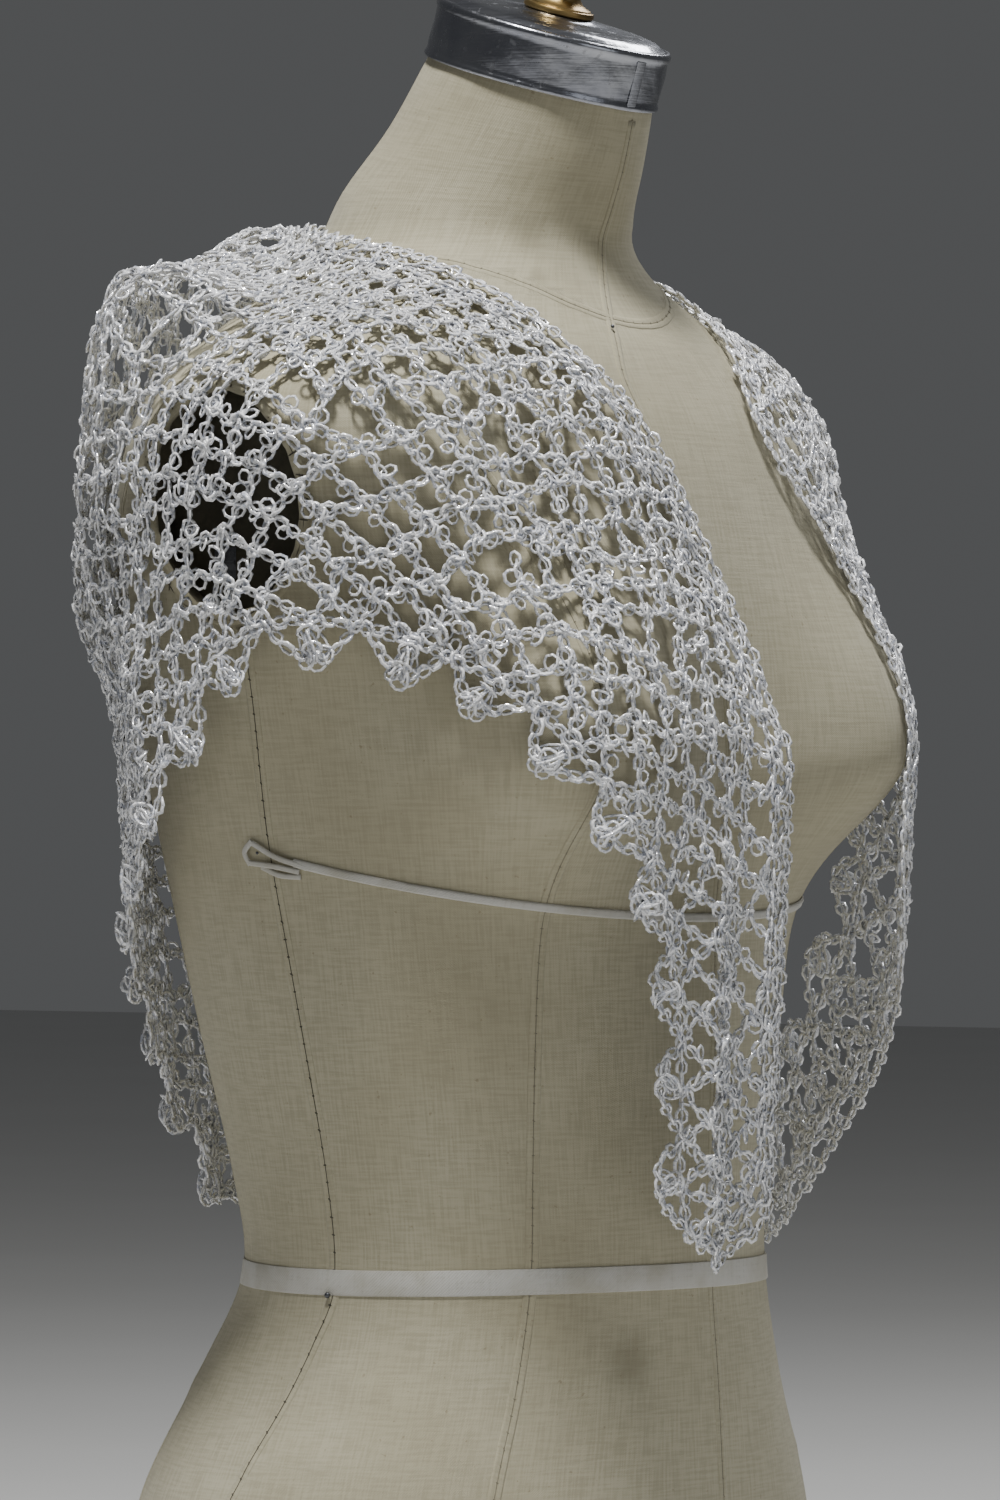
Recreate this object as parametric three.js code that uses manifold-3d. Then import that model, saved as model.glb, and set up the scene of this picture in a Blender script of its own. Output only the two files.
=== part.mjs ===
// A crocheted lace shawl, draped over the shoulders of a limbless dress form.
// Millimetres, +Z up. The form faces -Y and its right side is at -X; the origin is under its middle, on the floor.
// The shawl is one triangle of net: its long edge runs round the neck, its point hangs at the back of the
// waist, and its two corners hang in front. A band of open chain finishes the long edge, and scallops with
// bobbles finish the other two.
import * as THREE from "three";
import Module from "manifold-3d";
import { mergeVertices } from "three/addons/utils/BufferGeometryUtils.js";

const wasm = await Module();
wasm.setup();
const { clamp, lerp, degToRad } = THREE.MathUtils;

// Driving dimensions of the dress form
const WAIST_HEIGHT = 215;
const NECK_TOP_HEIGHT = WAIST_HEIGHT + 431;
const NECK_LEAN = 0.3; // how steeply the top of the neck slopes down to the front
const NECK_LEAN_START = WAIST_HEIGHT + 372;
const BUST = { angle: 35, height: WAIST_HEIGHT + 186, rise: 37, spread: 21, above: 66, below: 36 };
const ARMHOLE = { height: WAIST_HEIGHT + 275, y: 18, halfWidth: 38, halfHeight: 42, floorX: 134 };
const ARMHOLE_BOARD = 3;
const SEAM_GAP = 0.3;
const SKIN_GAP = 0.8; // keeps a tape clear of the flat faces that stand for the form's curved skin

// Driving dimensions of the shawl
const HALF_SPAN = 490; // from the middle of the back to a front corner, along the long edge
const WALL = 2.4; // the chain is about this thick
const LONG_EDGE_BAND = 12;
const BORDER_RAIL = 3;
const BORDER_REACH = 14; // from the net to the middle of a bobble
const REPEATS_PER_SIDE = 18; // scallops along the lower edge, from the point to a corner
const SQUARE = 22; // how finely the net's wall follows its curves
const STANDOFF = 3.2; // from the form's skin to the middle of the wall
const REST = { x: 112, height: WAIST_HEIGHT + 340, halfWidth: 34, halfHeight: 14, standoff: 1.75 };
const HANG_LEAN = 0.06; // how far hanging net leans in, for each millimetre that it hangs

// Sections of the dress form, from the floor up. Heights are above the waist.
const FORM_SECTIONS = [
  { height: -215, halfWidth: 157, front: 97, back: 131, centreY: 0 },
  { height: -150, halfWidth: 160, front: 98, back: 134, centreY: 0 },
  { height: -84, halfWidth: 147, front: 92, back: 127, centreY: 0 },
  { height: -35, halfWidth: 123, front: 89, back: 104, centreY: 0 },
  { height: 0, halfWidth: 112, front: 87, back: 87, centreY: 0 },
  { height: 35, halfWidth: 115, front: 87, back: 91, centreY: 0 },
  { height: 85, halfWidth: 125, front: 89, back: 103, centreY: 0 },
  { height: 130, halfWidth: 133, front: 90, back: 114, centreY: 0 },
  { height: 186, halfWidth: 146, front: 94, back: 124, centreY: 0 },
  { height: 235, halfWidth: 158, front: 93, back: 129, centreY: 0 },
  { height: 275, halfWidth: 168, front: 86, back: 127, centreY: 0 },
  { height: 303, halfWidth: 169, front: 78, back: 118, centreY: 0 },
  { height: 320, halfWidth: 159, front: 70, back: 109, centreY: 0 },
  { height: 334, halfWidth: 136, front: 63, back: 97, centreY: 1 },
  { height: 347, halfWidth: 105, front: 56, back: 86, centreY: 4 },
  { height: 359, halfWidth: 79, front: 52, back: 74, centreY: 7 },
  { height: 371, halfWidth: 62, front: 51, back: 62, centreY: 9 },
  { height: 387, halfWidth: 54, front: 52, back: 54, centreY: 7 },
  { height: 407, halfWidth: 47, front: 46, back: 46, centreY: -4 },
  { height: 431, halfWidth: 41.5, front: 39.7, back: 39.7, centreY: -15 },
];

// The net's long edge, from the middle of the back to a front corner. Angles are in degrees round the
// form, from 0 at the front to 180 at the back; span is measured along the edge. The left front hangs
// further round its side than the right one does, by leftTurn.
const LONG_EDGE = [
  { span: 0, angle: 180, height: 376, leftTurn: 0 },
  { span: 40, angle: 142, height: 375, leftTurn: 0 },
  { span: 70, angle: 110, height: 370, leftTurn: 0 },
  { span: 95, angle: 82, height: 362, leftTurn: 0 },
  { span: 118, angle: 57, height: 347, leftTurn: 0 },
  { span: 140, angle: 41, height: 329, leftTurn: 0 },
  { span: 165, angle: 25, height: 307, leftTurn: 6 },
  { span: 215, angle: 9, height: 262, leftTurn: 30 },
  { span: 260, angle: 3, height: 222, leftTurn: 38 },
  { span: 302, angle: 0, height: 182, leftTurn: 40 },
  { span: 345, angle: -1, height: 142, leftTurn: 41 },
  { span: 410, angle: -1, height: 79, leftTurn: 52 },
  { span: 450, angle: -1, height: 39, leftTurn: 64 },
  { span: 475, angle: 4, height: 16, leftTurn: 68 },
  { span: 490, angle: 15, height: 3, leftTurn: 66 },
];

// The net's lower edge, from the point at the back to a front corner. Its spans are those of the long
// edge that its places are joined to.
const LOWER_EDGE = [
  { span: 0, angle: 180, height: 24, leftTurn: 0 },
  { span: 20, angle: 170, height: 52, leftTurn: 0 },
  { span: 50, angle: 153, height: 92, leftTurn: 0 },
  { span: 85, angle: 134, height: 127, leftTurn: 0 },
  { span: 125, angle: 114, height: 160, leftTurn: 0 },
  { span: 150, angle: 103, height: 193, leftTurn: 0 },
  { span: 172, angle: 95, height: 222, leftTurn: 0 },
  { span: 200, angle: 84, height: 234, leftTurn: 1 },
  { span: 240, angle: 69, height: 225, leftTurn: 5 },
  { span: 280, angle: 56, height: 207, leftTurn: 10 },
  { span: 320, angle: 46, height: 180, leftTurn: 16 },
  { span: 355, angle: 38, height: 150, leftTurn: 22 },
  { span: 390, angle: 33, height: 120, leftTurn: 29 },
  { span: 420, angle: 30, height: 93, leftTurn: 38 },
  { span: 450, angle: 29, height: 64, leftTurn: 47 },
  { span: 475, angle: 29, height: 38, leftTurn: 54 },
  { span: 490, angle: 27, height: 17, leftTurn: 58 },
];

// Soft folds in the net: each is a ridge that runs from one place to another.
const FOLDS = [
  { fromAngle: 62, fromHeight: 322, toAngle: 120, toHeight: 322, rise: 3, width: 20 },
  { fromAngle: 170, fromHeight: 354, toAngle: 115, toHeight: 331, rise: 27, width: 21 },
  { fromAngle: 120, fromHeight: 312, toAngle: 128, toHeight: 240, rise: 12, width: 24 },
  { fromAngle: 66, fromHeight: 300, toAngle: 56, toHeight: 225, rise: 4, width: 16 },
  { fromAngle: 44, fromHeight: 300, toAngle: 30, toHeight: 235, rise: 3, width: 18 },
  { fromAngle: 3, fromHeight: 185, toAngle: 3, toHeight: 10, rise: 6, width: 11 },
  { fromAngle: 23, fromHeight: 150, toAngle: 23, toHeight: 10, rise: 7, width: 9 },
  { fromAngle: 158, fromHeight: 230, toAngle: 165, toHeight: 60, rise: 4, width: 14 },
  { fromAngle: 180, fromHeight: 200, toAngle: 180, toHeight: 20, rise: 4, width: 11 },
  { fromAngle: 112, fromHeight: 215, toAngle: 108, toHeight: 150, rise: 4, width: 13 },
];
const LEFT_FOLD_SHARE = 0.8; // the left side's folds are a little softer
const LEFT_FOLD_TURN = -2.5; // and sit a little further forward

// A smooth value of one column of a table, between its rows.
function column(rows, key, name, at) {
  const last = rows.length - 1;
  let i = 0;
  while (i < last - 1 && rows[i + 1][key] < at) i++;
  const slope = (k) => {
    const before = rows[Math.max(k - 1, 0)];
    const after = rows[Math.min(k + 1, last)];
    return (after[name] - before[name]) / (after[key] - before[key]);
  };
  const step = rows[i + 1][key] - rows[i][key];
  const t = clamp((at - rows[i][key]) / step, 0, 1);
  const t2 = t * t;
  const t3 = t2 * t;
  return (
    (2 * t3 - 3 * t2 + 1) * rows[i][name] +
    (t3 - 2 * t2 + t) * slope(i) * step +
    (3 * t2 - 2 * t3) * rows[i + 1][name] +
    (t3 - t2) * slope(i + 1) * step
  );
}

// How far the bust stands out from the ribs, at an angle in degrees from the front.
function bustRise(angle, height) {
  const away = (Math.abs(angle) - BUST.angle) / BUST.spread;
  const up = height - BUST.height;
  const along = up / (up > 0 ? BUST.above : BUST.below);
  return BUST.rise * Math.exp(-away * away - along * along);
}

// A point on the form's skin. angle runs from -180 to 180: positive on the form's right, which is at -X.
function formPoint(angle, height, outward = 0) {
  const at = height - WAIST_HEIGHT;
  const a = degToRad(angle);
  const halfWidth = column(FORM_SECTIONS, "height", "halfWidth", at);
  const depth = column(FORM_SECTIONS, "height", Math.abs(angle) < 90 ? "front" : "back", at);
  const grow = bustRise(angle, height) + outward;
  const x = -(halfWidth + grow) * Math.sin(a);
  const reach = (depth + grow) * Math.cos(a);
  const lean = clamp((height - NECK_LEAN_START) / (NECK_TOP_HEIGHT - NECK_LEAN_START), 0, 1);
  return new THREE.Vector3(
    x,
    column(FORM_SECTIONS, "height", "centreY", at) - reach,
    height + (height > NECK_LEAN_START ? -NECK_LEAN * lean * reach : 0),
  );
}

// The draped surface: each level's convex outline, and below it what hangs from the level above.
const ANGLE_STEP = 3;
const LEVEL_STEP = 3;
const TOP_LEVEL = WAIST_HEIGHT + 396;
const BOTTOM_LEVEL = WAIST_HEIGHT - 30;
const MERIDIANS = 180 / ANGLE_STEP + 1;

function convexOutline(height) {
  const samples = [];
  for (let angle = -180; angle < 180; angle += ANGLE_STEP) samples.push(formPoint(angle, height));
  const directions = [];
  for (let angle = -180; angle < 180; angle += ANGLE_STEP) {
    const a = degToRad(angle);
    const support = Math.max(...samples.map((p) => -p.x * Math.sin(a) - p.y * Math.cos(a)));
    directions.push({ angle: a, support });
  }
  const radii = [];
  for (let m = 0; m < MERIDIANS; m++) {
    const a = degToRad(m * ANGLE_STEP);
    const facing = directions.filter((d) => Math.cos(a - d.angle) > 0.2);
    radii.push(Math.min(...facing.map((d) => d.support / Math.cos(a - d.angle))));
  }
  return radii;
}

function drapedMeridians() {
  const meridians = Array.from({ length: MERIDIANS }, () => []);
  let above = null;
  for (let height = TOP_LEVEL; height >= BOTTOM_LEVEL; height -= LEVEL_STEP) {
    const radii = convexOutline(height);
    const hung = radii.map((r, m) => (above ? Math.max(r, above[m] - HANG_LEAN * LEVEL_STEP) : r));
    hung.forEach((radius, m) => meridians[m].push({ radius, height }));
    above = hung;
  }
  for (const line of meridians) {
    line[0].drop = 0;
    for (let i = 1; i < line.length; i++) {
      const along = Math.hypot(line[i].radius - line[i - 1].radius, LEVEL_STEP);
      line[i].drop = line[i - 1].drop + along;
    }
  }
  return meridians;
}
const DRAPE = drapedMeridians();

function onMeridian(line, drop) {
  let i = 1;
  while (i < line.length - 1 && line[i].drop < drop) i++;
  const t = (drop - line[i - 1].drop) / (line[i].drop - line[i - 1].drop);
  return {
    radius: lerp(line[i - 1].radius, line[i].radius, t),
    height: lerp(line[i - 1].height, line[i].height, t),
  };
}

function betweenMeridians(angle, value) {
  const turned = Math.abs(angle) > 180 ? 360 - Math.abs(angle) : Math.abs(angle);
  const m = clamp(Math.floor(turned / ANGLE_STEP), 0, MERIDIANS - 2);
  return value(DRAPE[m], DRAPE[m + 1], turned / ANGLE_STEP - m);
}

// A point of the draped surface, at an angle and at a distance down its meridian.
function drapePoint(angle, drop) {
  return betweenMeridians(angle, (one, two, t) => {
    const p = onMeridian(one, drop);
    const q = onMeridian(two, drop);
    const radius = lerp(p.radius, q.radius, t);
    const a = degToRad(angle);
    return new THREE.Vector3(-radius * Math.sin(a), -radius * Math.cos(a), lerp(p.height, q.height, t));
  });
}

// The distance down a meridian at which it reaches a height above the waist.
function dropAt(angle, aboveWaist) {
  const level = (TOP_LEVEL - WAIST_HEIGHT - aboveWaist) / LEVEL_STEP;
  const i = clamp(Math.floor(level), 0, DRAPE[0].length - 2);
  return betweenMeridians(angle, (one, two, t) =>
    lerp(lerp(one[i].drop, two[i].drop, t), lerp(one[i + 1].drop, two[i + 1].drop, t), level - i),
  );
}

const FOLD_SPINES = FOLDS.map((f) => ({
  ...f,
  fromDrop: dropAt(f.fromAngle, f.fromHeight),
  toDrop: dropAt(f.toAngle, f.toHeight),
}));

// How far the folds lift the net at a place on the draped surface.
function foldRise(angle, drop, radius) {
  const left = angle < 0 || angle > 180;
  const turned = Math.abs(angle) > 180 ? 360 - Math.abs(angle) : Math.abs(angle);
  const at = turned + (left ? LEFT_FOLD_TURN : 0);
  const perDegree = degToRad(radius);
  let rise = 0;
  for (const f of FOLD_SPINES) {
    const alongX = (f.toAngle - f.fromAngle) * perDegree;
    const alongY = f.toDrop - f.fromDrop;
    const x = (at - f.fromAngle) * perDegree;
    const y = drop - f.fromDrop;
    const share = clamp((x * alongX + y * alongY) / (alongX * alongX + alongY * alongY), 0, 1);
    const away = Math.hypot(x - share * alongX, y - share * alongY) / f.width;
    rise += f.rise * Math.exp(-away * away) * (left ? LEFT_FOLD_SHARE : 1);
  }
  return rise;
}

// The standoff is least on top of the shoulders, where the shawl's weight rests on the form.
function standoff(point) {
  const across = (Math.abs(point.x) - REST.x) / REST.halfWidth;
  const up = (point.z - REST.height) / REST.halfHeight;
  const onShoulder = Math.exp(-across * across - up * up);
  return lerp(STANDOFF, REST.standoff, Math.sqrt(onShoulder));
}

// Where one of the net's two edges lies, and the way across it: out of the net, or into it.
function edgePlace(rows, span, left) {
  const spot = (at) => {
    const angle = column(rows, "span", "angle", at) + (left ? column(rows, "span", "leftTurn", at) : 0);
    return { angle, drop: dropAt(angle, column(rows, "span", "height", at)) };
  };
  const here = spot(span);
  const before = spot(Math.max(span - 8, 0));
  const after = spot(Math.min(span + 8, HALF_SPAN));
  const point = drapePoint(here.angle, here.drop);
  const perDegree = degToRad(Math.hypot(point.x, point.y));
  const along = new THREE.Vector2((before.angle - after.angle) * perDegree, after.drop - before.drop).normalize();
  return { ...here, perDegree, across: new THREE.Vector2(along.y, along.x) };
}

// How far along the lower edge each span lies, which sets the scallops out evenly.
function lowerEdgeRun() {
  const spanStep = 5;
  const run = [];
  let length = 0;
  let before = null;
  for (let span = 0; span <= HALF_SPAN; span += spanStep) {
    const place = edgePlace(LOWER_EDGE, span, false);
    const point = drapePoint(place.angle, place.drop);
    length += before ? point.distanceTo(before) : 0;
    run.push({ span, length });
    before = point;
  }
  return run;
}
const LOWER_RUN = lowerEdgeRun();
const REPEAT = LOWER_RUN.at(-1).length / REPEATS_PER_SIDE;

// The span at a number of repeats from the middle of the back, positive on the form's right.
function spanAt(repeats) {
  return Math.sign(repeats) * column(LOWER_RUN, "length", "span", Math.abs(repeats) * REPEAT);
}

// One line of the net, from the long edge to the lower edge, as a curve that meets both squarely.
const ACROSS_SHARE = 0.75;

function netLine(span) {
  const at = Math.abs(span);
  const top = edgePlace(LONG_EDGE, at, span < 0);
  const bottom = edgePlace(LOWER_EDGE, at, span < 0);
  const perDegree = (top.perDegree + bottom.perDegree) / 2;
  const chord = new THREE.Vector2((bottom.angle - top.angle) * perDegree, bottom.drop - top.drop);
  const length = chord.length();
  const share = ACROSS_SHARE * clamp(at / 60, 0, 1);
  const heading = (place) => {
    const way = chord.clone().normalize().lerp(place.across, share).normalize();
    return { angle: (way.x * length) / place.perDegree, drop: way.y * length };
  };
  return { top, bottom, length, leave: heading(top), arrive: heading(bottom), side: span < 0 ? -1 : 1 };
}

// A point of the shawl, at a distance down its line from the long edge, and lifted from the middle of the
// wall. The line runs on straight past the lower edge, for the border.
function clothPoint(line, down, lift) {
  const t = down / line.length;
  const t2 = t * t;
  const t3 = t2 * t;
  const curve = (key) => {
    if (t >= 1) return line.bottom[key] + line.arrive[key] * (t - 1);
    return (
      (2 * t3 - 3 * t2 + 1) * line.top[key] +
      (t3 - 2 * t2 + t) * line.leave[key] +
      (3 * t2 - 2 * t3) * line.bottom[key] +
      (t3 - t2) * line.arrive[key]
    );
  };
  const angle = line.side * curve("angle");
  const drop = curve("drop");
  const point = drapePoint(angle, drop);
  const round = drapePoint(angle + 1, drop).sub(drapePoint(angle - 1, drop));
  const downwards = drapePoint(angle, drop + 3).sub(drapePoint(angle, drop - 3));
  const outwards = round.cross(downwards).normalize();
  const rise = foldRise(angle, drop, Math.hypot(point.x, point.y));
  return point.addScaledVector(outwards, standoff(point) + rise + lift);
}

// Collects the points and faces of a sheet of cloth, sharing points that coincide, and makes it a closed
// wall. Each point is a place on the cloth and half the wall's thickness there.
function newSheet() {
  const points = [];
  const faces = [];
  const seen = new Map();
  const lines = new Map();
  const lineAt = (repeats) => {
    const key = repeats.toFixed(4);
    if (!lines.has(key)) lines.set(key, netLine(spanAt(repeats)));
    return lines.get(key);
  };
  const point = (repeats, down, half = WALL / 2) => {
    const key = `${repeats.toFixed(4)},${down.toFixed(3)}`;
    if (!seen.has(key)) {
      seen.set(key, points.length);
      points.push({ line: lineAt(repeats), down, half });
    }
    return seen.get(key);
  };
  const face = (a, b, c) => faces.push([a, b, c]);
  const quad = (a, b, c, d) => {
    face(a, b, c);
    face(a, c, d);
  };
  // Fills the space between two lines of points, which may hold different numbers of them.
  const zip = (near, far) => {
    const place = (k) => clothPoint(points[k].line, points[k].down, 0);
    let i = 0;
    let j = 0;
    while (i < near.length - 1 || j < far.length - 1) {
      const nearGap = i < near.length - 1 ? place(near[i + 1]).distanceTo(place(far[j])) : Infinity;
      const farGap = j < far.length - 1 ? place(near[i]).distanceTo(place(far[j + 1])) : Infinity;
      if (nearGap <= farGap) face(near[i], far[j], near[++i]);
      else face(near[i], far[j], far[++j]);
    }
  };
  const wall = () => {
    const places = [];
    for (const side of [-1, 1]) {
      for (const p of points) places.push(...clothPoint(p.line, p.down, side * p.half).toArray());
    }
    const n = points.length;
    const index = [];
    const edges = new Map();
    for (const [a, b, c] of faces) {
      index.push(a, b, c, a + n, c + n, b + n);
      for (const [p, q] of [[a, b], [b, c], [c, a]]) {
        if (!edges.delete(`${q},${p}`)) edges.set(`${p},${q}`, [p, q]);
      }
    }
    for (const [p, q] of edges.values()) index.push(q, p, p + n, q, p + n, q + n);
    const geometry = new THREE.BufferGeometry();
    geometry.setAttribute("position", new THREE.Float32BufferAttribute(places, 3));
    geometry.setIndex(index);
    return geometry;
  };
  return { point, face, quad, zip, wall, lengthAt: (repeats) => lineAt(repeats).length };
}

// The places across one repeat at which the net, the band and the border all have points. A stretch ends
// a little short of where the next begins.
const FRONT_STARTS = 9;
const STRETCH_GAP = (0.7 * SEAM_GAP) / REPEAT;

function repeatStops(k, from, to) {
  const start = k + (k === from ? STRETCH_GAP : 0);
  const end = k + 1 - (k === to - 1 ? STRETCH_GAP : 0);
  const parts = k >= FRONT_STARTS || k < -FRONT_STARTS ? 4 : 2;
  return Array.from({ length: parts + 1 }, (_, i) => lerp(start, end, i / parts));
}

function stretchStops(from, to) {
  const stops = [];
  for (let k = from; k < to; k++) stops.push(...repeatStops(k, from, to).slice(k === from ? 0 : 1));
  return stops;
}

// The plain net between the band and the border.
function netStretch(from, to) {
  const sheet = newSheet();
  const lines = stretchStops(from, to).map((stop) => {
    const length = sheet.lengthAt(stop);
    const squares = 2 * Math.max(2, Math.round(length / (2 * SQUARE)));
    return Array.from({ length: squares + 1 }, (_, j) =>
      sheet.point(stop, lerp(LONG_EDGE_BAND + SEAM_GAP, length - SEAM_GAP, j / squares)),
    );
  });
  for (let i = 0; i < lines.length - 1; i++) sheet.zip(lines[i], lines[i + 1]);
  return sheet.wall();
}

// The open band along the long edge: two rails with zigzag struts between them, and gaps between those.
function bandStretch(from, to) {
  const rail = 2.6;
  const inner = LONG_EDGE_BAND - rail;
  const footShare = 0.2;
  const sheet = newSheet();
  const stops = stretchStops(from, to);
  for (let i = 0; i < stops.length - 1; i++) {
    const [a, b] = [stops[i], stops[i + 1]];
    const foot = (b - a) * footShare;
    const rising = i % 2 === 1;
    const [topFrom, topTo] = rising ? [b - foot, b] : [a, a + foot];
    const [lowFrom, lowTo] = rising ? [a, a + foot] : [b - foot, b];
    const row = (places, down) => places.map((place) => sheet.point(place, down));
    sheet.zip(row(rising ? [a, topFrom, b] : [a, topTo, b], rail), row([a, b], 0));
    sheet.zip(row([a, b], LONG_EDGE_BAND), row(rising ? [a, lowTo, b] : [a, lowFrom, b], inner));
    sheet.quad(...row([topFrom, topTo], rail), ...row([lowTo, lowFrom], inner));
  }
  return sheet.wall();
}

// The scalloped border: a rail along the net, and arches that each carry a bobble, with a gap behind it.
const BOBBLE = { halfSpan: 5.2, halfDown: 6.5, halfThick: 3.2, rimHalfThick: 1.4, sides: 8 };

function borderStretch(from, to) {
  const foot = 3 / REPEAT;
  const armHalf = 1.5;
  const sheet = newSheet();
  const at = (repeats, beyond, half) => sheet.point(repeats, sheet.lengthAt(repeats) + SEAM_GAP + beyond, half);
  for (let k = from; k < to; k++) {
    const stops = repeatStops(k, from, to);
    const [start, end] = [stops[0], stops[stops.length - 1]];
    const middle = (start + end) / 2;
    const railEdge = [start, start + foot, middle, end - foot, end];
    sheet.zip(railEdge.map((stop) => at(stop, BORDER_RAIL)), stops.map((stop) => at(stop, 0)));
    const rim = [];
    for (let i = 0; i < BOBBLE.sides; i++) {
      const turn = ((i + 0.5) / BOBBLE.sides) * 2 * Math.PI;
      const repeats = middle + (BOBBLE.halfSpan * Math.cos(turn)) / REPEAT;
      rim.push(at(repeats, BORDER_REACH + BOBBLE.halfDown * Math.sin(turn), BOBBLE.rimHalfThick));
    }
    const heart = at(middle, BORDER_REACH, BOBBLE.halfThick);
    for (let i = 0; i < BOBBLE.sides; i++) sheet.face(heart, rim[i], rim[(i + 1) % BOBBLE.sides]);
    const elbowDown = BORDER_REACH * 0.72;
    const arms = [
      { near: start, turn: 1, outer: rim[3], inner: rim[4] },
      { near: end, turn: -1, outer: rim[0], inner: rim[7] },
    ];
    for (const { near, turn, outer, inner } of arms) {
      const elbow = near + turn * (middle - start) * 0.42;
      const wide = (turn * armHalf) / REPEAT;
      const elbowIn = at(elbow + wide, elbowDown - armHalf);
      const elbowOut = at(elbow - wide, elbowDown + armHalf);
      const laid = (...corners) => sheet.quad(...(turn > 0 ? corners : corners.reverse()));
      laid(at(near, BORDER_RAIL), at(near + turn * foot, BORDER_RAIL), elbowIn, elbowOut);
      laid(elbowOut, elbowIn, inner, outer);
    }
  }
  return sheet.wall();
}

// A closed skin through rings of points, capped flat at both ends.
function loft(rings) {
  const sides = rings[0].length;
  const places = rings.flat().flatMap((p) => p.toArray());
  const index = [];
  for (let i = 0; i < rings.length - 1; i++) {
    for (let j = 0; j < sides; j++) {
      const a = i * sides + j;
      const b = i * sides + ((j + 1) % sides);
      index.push(a, b, b + sides, a, b + sides, a + sides);
    }
  }
  [rings[0], rings[rings.length - 1]].forEach((ring, last) => {
    const centre = places.length / 3;
    const middle = ring.reduce((sum, p) => sum.add(p), new THREE.Vector3()).divideScalar(sides);
    places.push(...middle.toArray());
    const start = last ? (rings.length - 1) * sides : 0;
    for (let j = 0; j < sides; j++) {
      const a = start + j;
      const b = start + ((j + 1) % sides);
      if (last) index.push(a, b, centre);
      else index.push(b, a, centre);
    }
  });
  const geometry = new THREE.BufferGeometry();
  geometry.setAttribute("position", new THREE.Float32BufferAttribute(places, 3));
  geometry.setIndex(index);
  return geometry;
}

function solid(geometry) {
  const bare = geometry.clone();
  bare.deleteAttribute("normal");
  bare.deleteAttribute("uv");
  const merged = mergeVertices(bare, 1e-3);
  return new wasm.Manifold(
    new wasm.Mesh({
      numProp: 3,
      vertProperties: new Float32Array(merged.attributes.position.array),
      triVerts: new Uint32Array(merged.index.array),
    }),
  );
}

function geometryOf(manifold) {
  const mesh = manifold.getMesh();
  const geometry = new THREE.BufferGeometry();
  geometry.setAttribute("position", new THREE.BufferAttribute(mesh.vertProperties, 3));
  geometry.setIndex(new THREE.BufferAttribute(mesh.triVerts, 1));
  return geometry;
}

// Rings go the other way round from the angles, so that the faces of the skin point outwards.
function formRing(height, sides, outward = 0) {
  return Array.from({ length: sides }, (_, j) => formPoint(180 - (j * 360) / sides, height, outward));
}

// An upright oval disc that faces along X, for an armhole and for the board at the bottom of it.
function ovalDisc(fromX, toX, shrink) {
  const disc = new THREE.CylinderGeometry(1, 1, Math.abs(toX - fromX), 28);
  disc.scale(ARMHOLE.halfHeight - shrink, 1, ARMHOLE.halfWidth - shrink);
  disc.rotateZ(Math.PI / 2);
  disc.translate((fromX + toX) / 2, ARMHOLE.y, ARMHOLE.height);
  return disc;
}

function torso() {
  const heights = [0, 65, 115, 150, 180, 200, 215, 232, 260, 295, 325, 342, 352, 362, 373, 385, 402, 422, 445];
  heights.push(466, 488, 505, 518, 529, 537, 545, 553, 561, 569, 577, 586, 600, 620, NECK_TOP_HEIGHT);
  let body = solid(loft(heights.map((height) => formRing(height, 36))));
  const outside = 200;
  for (const side of [-1, 1]) {
    body = body.subtract(solid(ovalDisc(side * ARMHOLE.floorX, side * outside, 0)));
  }
  return geometryOf(body);
}

function armholeBoard(side) {
  const from = ARMHOLE.floorX + SEAM_GAP;
  return ovalDisc(side * from, side * (from + ARMHOLE_BOARD), SEAM_GAP);
}

// A band that lies on the form's skin, between two angles and two heights.
function tape({ fromAngle, toAngle, steps, height, drape, width, thick }) {
  const rings = [];
  for (let i = 0; i <= steps; i++) {
    const angle = lerp(fromAngle, toAngle, i / steps);
    const centre = height + drape * Math.cos(degToRad(angle));
    rings.push([
      formPoint(angle, centre - width / 2, SKIN_GAP),
      formPoint(angle, centre - width / 2, SKIN_GAP + thick),
      formPoint(angle, centre + width / 2, SKIN_GAP + thick),
      formPoint(angle, centre + width / 2, SKIN_GAP),
    ]);
  }
  return loft(rings);
}

// A closed ring of tape round the waist.
function waistTape() {
  const width = 9.5;
  const thick = 0.8;
  const sides = 72;
  const places = [];
  const index = [];
  for (let i = 0; i < sides; i++) {
    const angle = 180 - (i * 360) / sides;
    const low = WAIST_HEIGHT - width / 2;
    const high = WAIST_HEIGHT + width / 2;
    for (const [height, outward] of [[low, SKIN_GAP], [low, SKIN_GAP + thick], [high, SKIN_GAP + thick], [high, SKIN_GAP]]) {
      places.push(...formPoint(angle, height, outward).toArray());
    }
    for (let k = 0; k < 4; k++) {
      const a = 4 * i + k;
      const b = 4 * i + ((k + 1) % 4);
      const c = (a + 4) % (4 * sides);
      const d = (b + 4) % (4 * sides);
      index.push(a, c, d, a, d, b);
    }
  }
  const geometry = new THREE.BufferGeometry();
  geometry.setAttribute("position", new THREE.Float32BufferAttribute(places, 3));
  geometry.setIndex(index);
  return geometry;
}

// A turned piece on the neck's leaning axis, from a profile of [radius, height] points.
function turnedOnNeck(profile, segments) {
  const lathe = new THREE.LatheGeometry(profile.map(([r, h]) => new THREE.Vector2(r, h)), segments);
  lathe.rotateX(Math.PI / 2 + Math.atan(NECK_LEAN));
  lathe.translate(0, column(FORM_SECTIONS, "height", "centreY", 431), NECK_TOP_HEIGHT);
  return lathe;
}

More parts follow.
